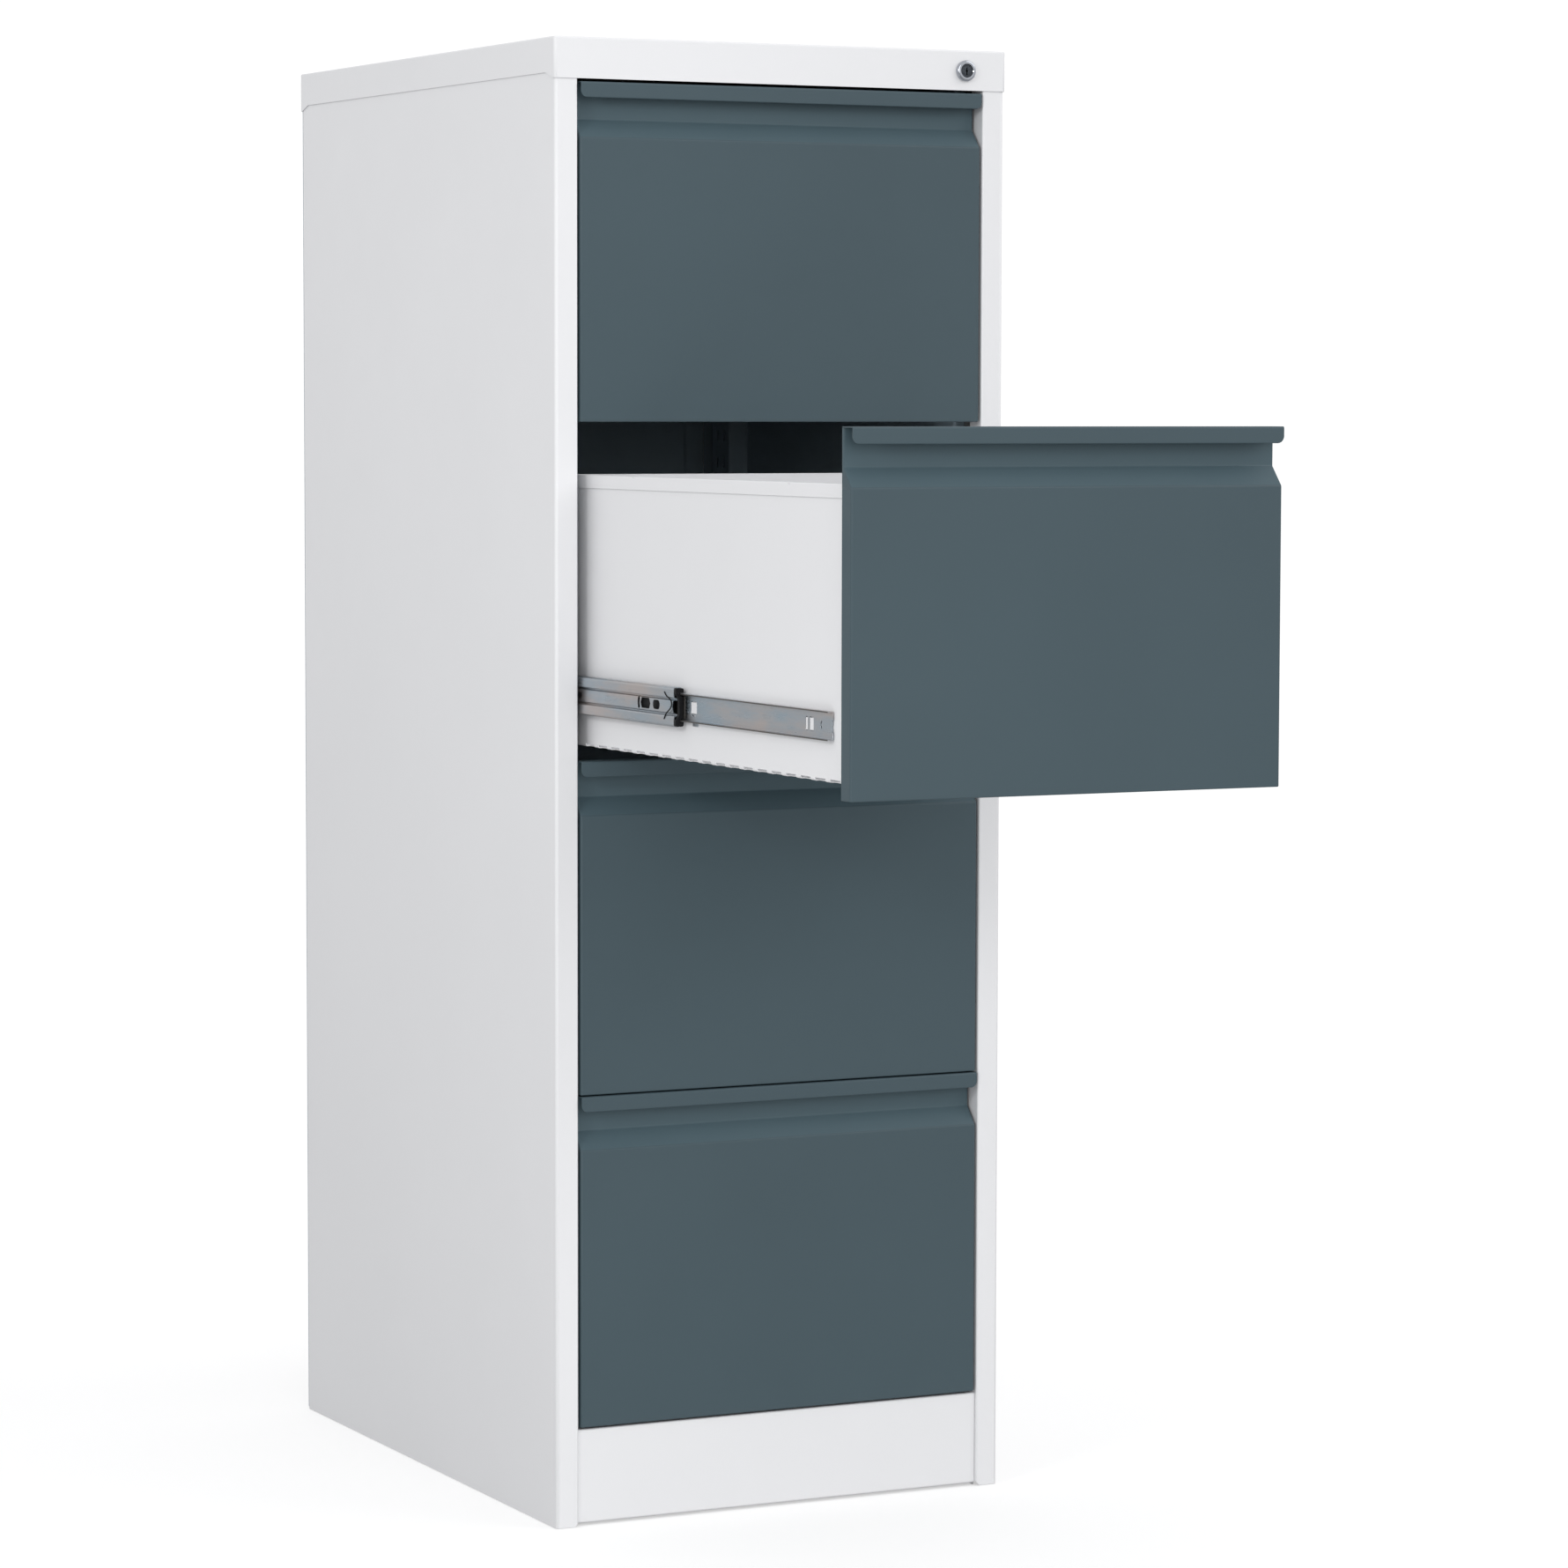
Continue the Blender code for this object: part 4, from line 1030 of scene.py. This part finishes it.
def make_cages():
    """Both ball cages of a slide: one behind the middle member's rear, one inside its front."""
    parts = []
    ball = bmesh.new()
    bmesh.ops.create_uvsphere(ball, u_segments=14, v_segments=9, radius=0.0019)
    ball = to_mesh(ball)
    for start, depth, height, span in ((0.300, 0.0052, 0.0193, 0.235),
                                       (0.040, 0.0074, 0.01405, 0.22)):
        x = depth_x(depth)
        spots = [start + 0.010 + (span - 0.020) * k / 9 for k in range(10)]
        for sign in (-1, 1):
            bm = box_bm((x - 0.0024, start, sign * height - 0.0004),
                        (x + 0.0024, start + span, sign * height + 0.0004))
            strip = new_object("strip", to_mesh(bm))
            pockets = bmesh.new()
            for y in spots:
                prism_bm(circle((x, y), 0.00205, 16), "Z",
                         (sign * height - 0.002, sign * height + 0.002), pockets)
            cut(strip, pockets)
            parts.append(bake(strip))
            parts += [moved(ball, Vector((x, y, sign * height))) for y in spots]
    return join(*parts)


def make_slides():
    outer, middle, inner = make_rails()
    stop, cages = make_stop(), make_cages()
    for number in NUMBERS:
        for side, word in SIDES:
            mirror = side > 0
            tag = f"{word}_{number}"

            def origin(node):
                low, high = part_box(node)
                return Vector((0.0, low.y, (low.z + high.z) / 2))
            outer_node, middle_node = f"slide_outer_{tag}", f"slide_middle_{tag}"
            inner_node = f"slide_inner_{tag}"
            stamp(outer, f"rail_outer_{tag}", "carcass", [ZINC], origin(outer_node),
                  mirror, [outer_node])
            at = origin(middle_node)
            stamp(middle, f"rail_middle_{tag}", middle_node, [ZINC], at, mirror,
                  [middle_node])
            stamp(stop, f"rail_stop_{tag}", middle_node, [BLACK, CUT_EDGE_AND_SHADE], at,
                  mirror)
            stamp(cages, f"ball_cages_{tag}", middle_node, [ZINC], at, mirror)
            stamp(inner, f"rail_inner_{tag}", f"drawer_{number}", [ZINC, CUT_EDGE_AND_SHADE],
                  origin(inner_node), mirror, [inner_node])


# ---------------------------------------------------------------- lock
LOCK_NODE_LOW, LOCK_NODE_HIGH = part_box("lock_body")
LOCK = Vector(((LOCK_NODE_LOW.x + LOCK_NODE_HIGH.x) / 2, FRONT_Y,
               (LOCK_NODE_LOW.z + LOCK_NODE_HIGH.z) / 2))


def make_lock():
    """Chrome barrel with a rolled bezel and a threaded sleeve; plug with a key slot."""
    proud, outer, sleeve, bore = 0.0042, 0.0095, 0.0079, 0.00615
    profile = [(bore, proud - 0.0003), (bore + 0.0003, proud), (outer - 0.0017, proud)]
    profile += [(outer - 0.0017 + 0.0017 * sin(radians(a)), proud - 0.0017 * (1 - cos(radians(a))))
                for a in (20, 40, 60, 80)]
    profile += [(outer, proud - 0.0020), (outer, 0.0004), (sleeve, 0.0003)]
    profile += thread_profile(sleeve, -0.0195, -0.0010, 0.0013, 0.0003)
    profile += [(sleeve - 0.0004, -0.0200), (bore, -0.0200)]
    barrel = moved(lathe(profile, 64, ring=True), TOWARD_FRONT)
    stamp(barrel, "lock_barrel", "carcass", [CHROME], LOCK, stands_for=["lock_body"])
    face, radius = 0.0034, 0.0060
    profile = [(0.0, face), (0.0042, face), (0.0044, face - 0.0002), (0.0047, face - 0.0002),
               (0.0049, face), (radius - 0.0004, face), (radius, face - 0.0004),
               (radius, -0.0214), (0.0030, -0.0214), (0.0030, -0.0240), (0.0, -0.0240)]
    plug = new_object("plug", moved(lathe(profile, 56), TOWARD_FRONT))
    for x, low, high in ((0.0006, -0.0040, 0.0026), (0.0011, -0.0012, 0.0004)):
        cut(plug, box_bm((-x, -0.0084, low), (x, 0.0020, high)))
    soften(plug, 0.00012, 2)
    stamp(bake(plug), "lock_core", "lock_plug", [LOCK_STEEL], LOCK,
          stands_for=["lock_plug"])
    for node, material in (("lock_nut", ZINC), ("lock_cam", LOCK_STEEL), ("lock_bar", ZINC_DULL),
                           ("lock_bar_guide", ZINC_DULL)):
        dress(node, material)
    spots = []
    for number in NUMBERS:
        dress(f"lock_hook_{number}", ZINC_DULL)
        low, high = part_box(f"lock_hook_{number}")
        spot = Vector((high.x - 0.0014, low.y + 0.0045, (low.z + high.z) / 2))
        spots.append(Matrix.Translation(spot) @ facing((-1, 0, 0)))
    stamp(array(rivet_mesh(0.0020, 0.0006), spots), "hook_rivets", "lock_bar", [ZINC])


def dress(node, material):
    """Give a CAD node its finish and slightly broken edges."""
    piece = NODES[node]
    piece.data.materials.clear()
    piece.data.materials.append(material)
    soften(piece, 0.0002, 2)


# ---------------------------------------------------------------- stage
def aim(item, toward):
    item.rotation_euler = Vector(toward).to_track_quat("Z", "Y").to_euler()


def add_light(name, kind, energy):
    light = bpy.data.lights.new(name, kind)
    light.energy = energy
    return new_object(name, light), light


def seen_only(tree, plain, seen, output):
    """Use one shader for what the camera sees and the other for every other ray."""
    mix = tree.nodes.new("ShaderNodeMixShader")
    path = tree.nodes.new("ShaderNodeLightPath")
    tree.links.new(path.outputs["Is Camera Ray"], mix.inputs["Fac"])
    tree.links.new(plain, mix.inputs[1])
    tree.links.new(seen, mix.inputs[2])
    tree.links.new(mix.outputs["Shader"], output)


def make_stage():
    bm = bmesh.new()
    bmesh.ops.create_circle(bm, cap_ends=True, radius=14.0, segments=96)
    floor = new_object("floor", to_mesh(bm))
    floor.location = (0.0, 0.0, -0.0005)
    material, tree, shader, xyz = start_material("studio_floor", 0.85)
    tone = blend_colours(tree, noise(tree, xyz, 3.0, 2.0), (0.50, 0.50, 0.50), (0.52, 0.52, 0.52))
    glowing = tree.nodes.new("ShaderNodeBsdfPrincipled")
    for item in (shader, glowing):
        tree.links.new(tone, item.inputs["Base Color"])
        item.inputs["Roughness"].default_value = 0.85
        item.inputs["Specular IOR Level"].default_value = 0.1
    glowing.inputs["Emission Color"].default_value = (1.0, 1.0, 1.0, 1.0)
    glowing.inputs["Emission Strength"].default_value = FLOOR_GLOW
    seen_only(tree, shader.outputs["BSDF"], glowing.outputs["BSDF"],
              tree.nodes["Material Output"].inputs["Surface"])
    floor.data.materials.append(material)

    world = bpy.data.worlds.new("studio")
    bpy.context.scene.world = world
    world.use_nodes = True
    tree = world.node_tree
    sky = tree.nodes["Background"]
    sky.inputs["Color"].default_value = (0.985, 0.99, 1.0, 1.0)
    sky.inputs["Strength"].default_value = SKY
    backdrop = tree.nodes.new("ShaderNodeBackground")
    backdrop.inputs["Color"].default_value = (1.0, 1.0, 1.0, 1.0)
    backdrop.inputs["Strength"].default_value = 1.05
    seen_only(tree, sky.outputs["Background"], backdrop.outputs["Background"],
              tree.nodes["World Output"].inputs["Surface"])

    for name, energy, aside, rise in SUNS:
        lamp, light = add_light(name, "SUN", energy)
        light.angle = radians(40)
        aim(lamp, (sin(radians(aside)) * cos(radians(rise)),
                   -cos(radians(aside)) * cos(radians(rise)), sin(radians(rise))))
    for name, power, size, spot, target in LAMPS:
        lamp, light = add_light(name, "AREA", power)
        light.shape = "DISK"
        light.size = size
        lamp.location = spot
        lamp.visible_camera = False
        aim(lamp, Vector(spot) - Vector(target))

    camera = bpy.data.cameras.new("camera")
    camera.lens = 118.11
    camera.sensor_width = 36.0
    camera.clip_end = 60.0
    eye = new_object("camera", camera)
    eye.location = (-2.06572, -4.21601, 1.01233)
    eye.rotation_euler = (1.49604, -0.00217, -0.45992)
    bpy.context.scene.camera = eye
    bpy.context.scene.view_settings.view_transform = "Standard"


make_stage()
make_cover()
for side_sign, side_word in SIDES:
    make_side(side_sign, side_word)
    make_post(f"front_upright_{side_word}", side_sign, f"post_front_{side_word}")
    make_post(f"rear_upright_{side_word}", side_sign, f"post_rear_{side_word}")
make_plinth()
make_back()
make_base()
make_feet()
make_carcass_fasteners()
make_drawers()
make_slides()
make_lock()
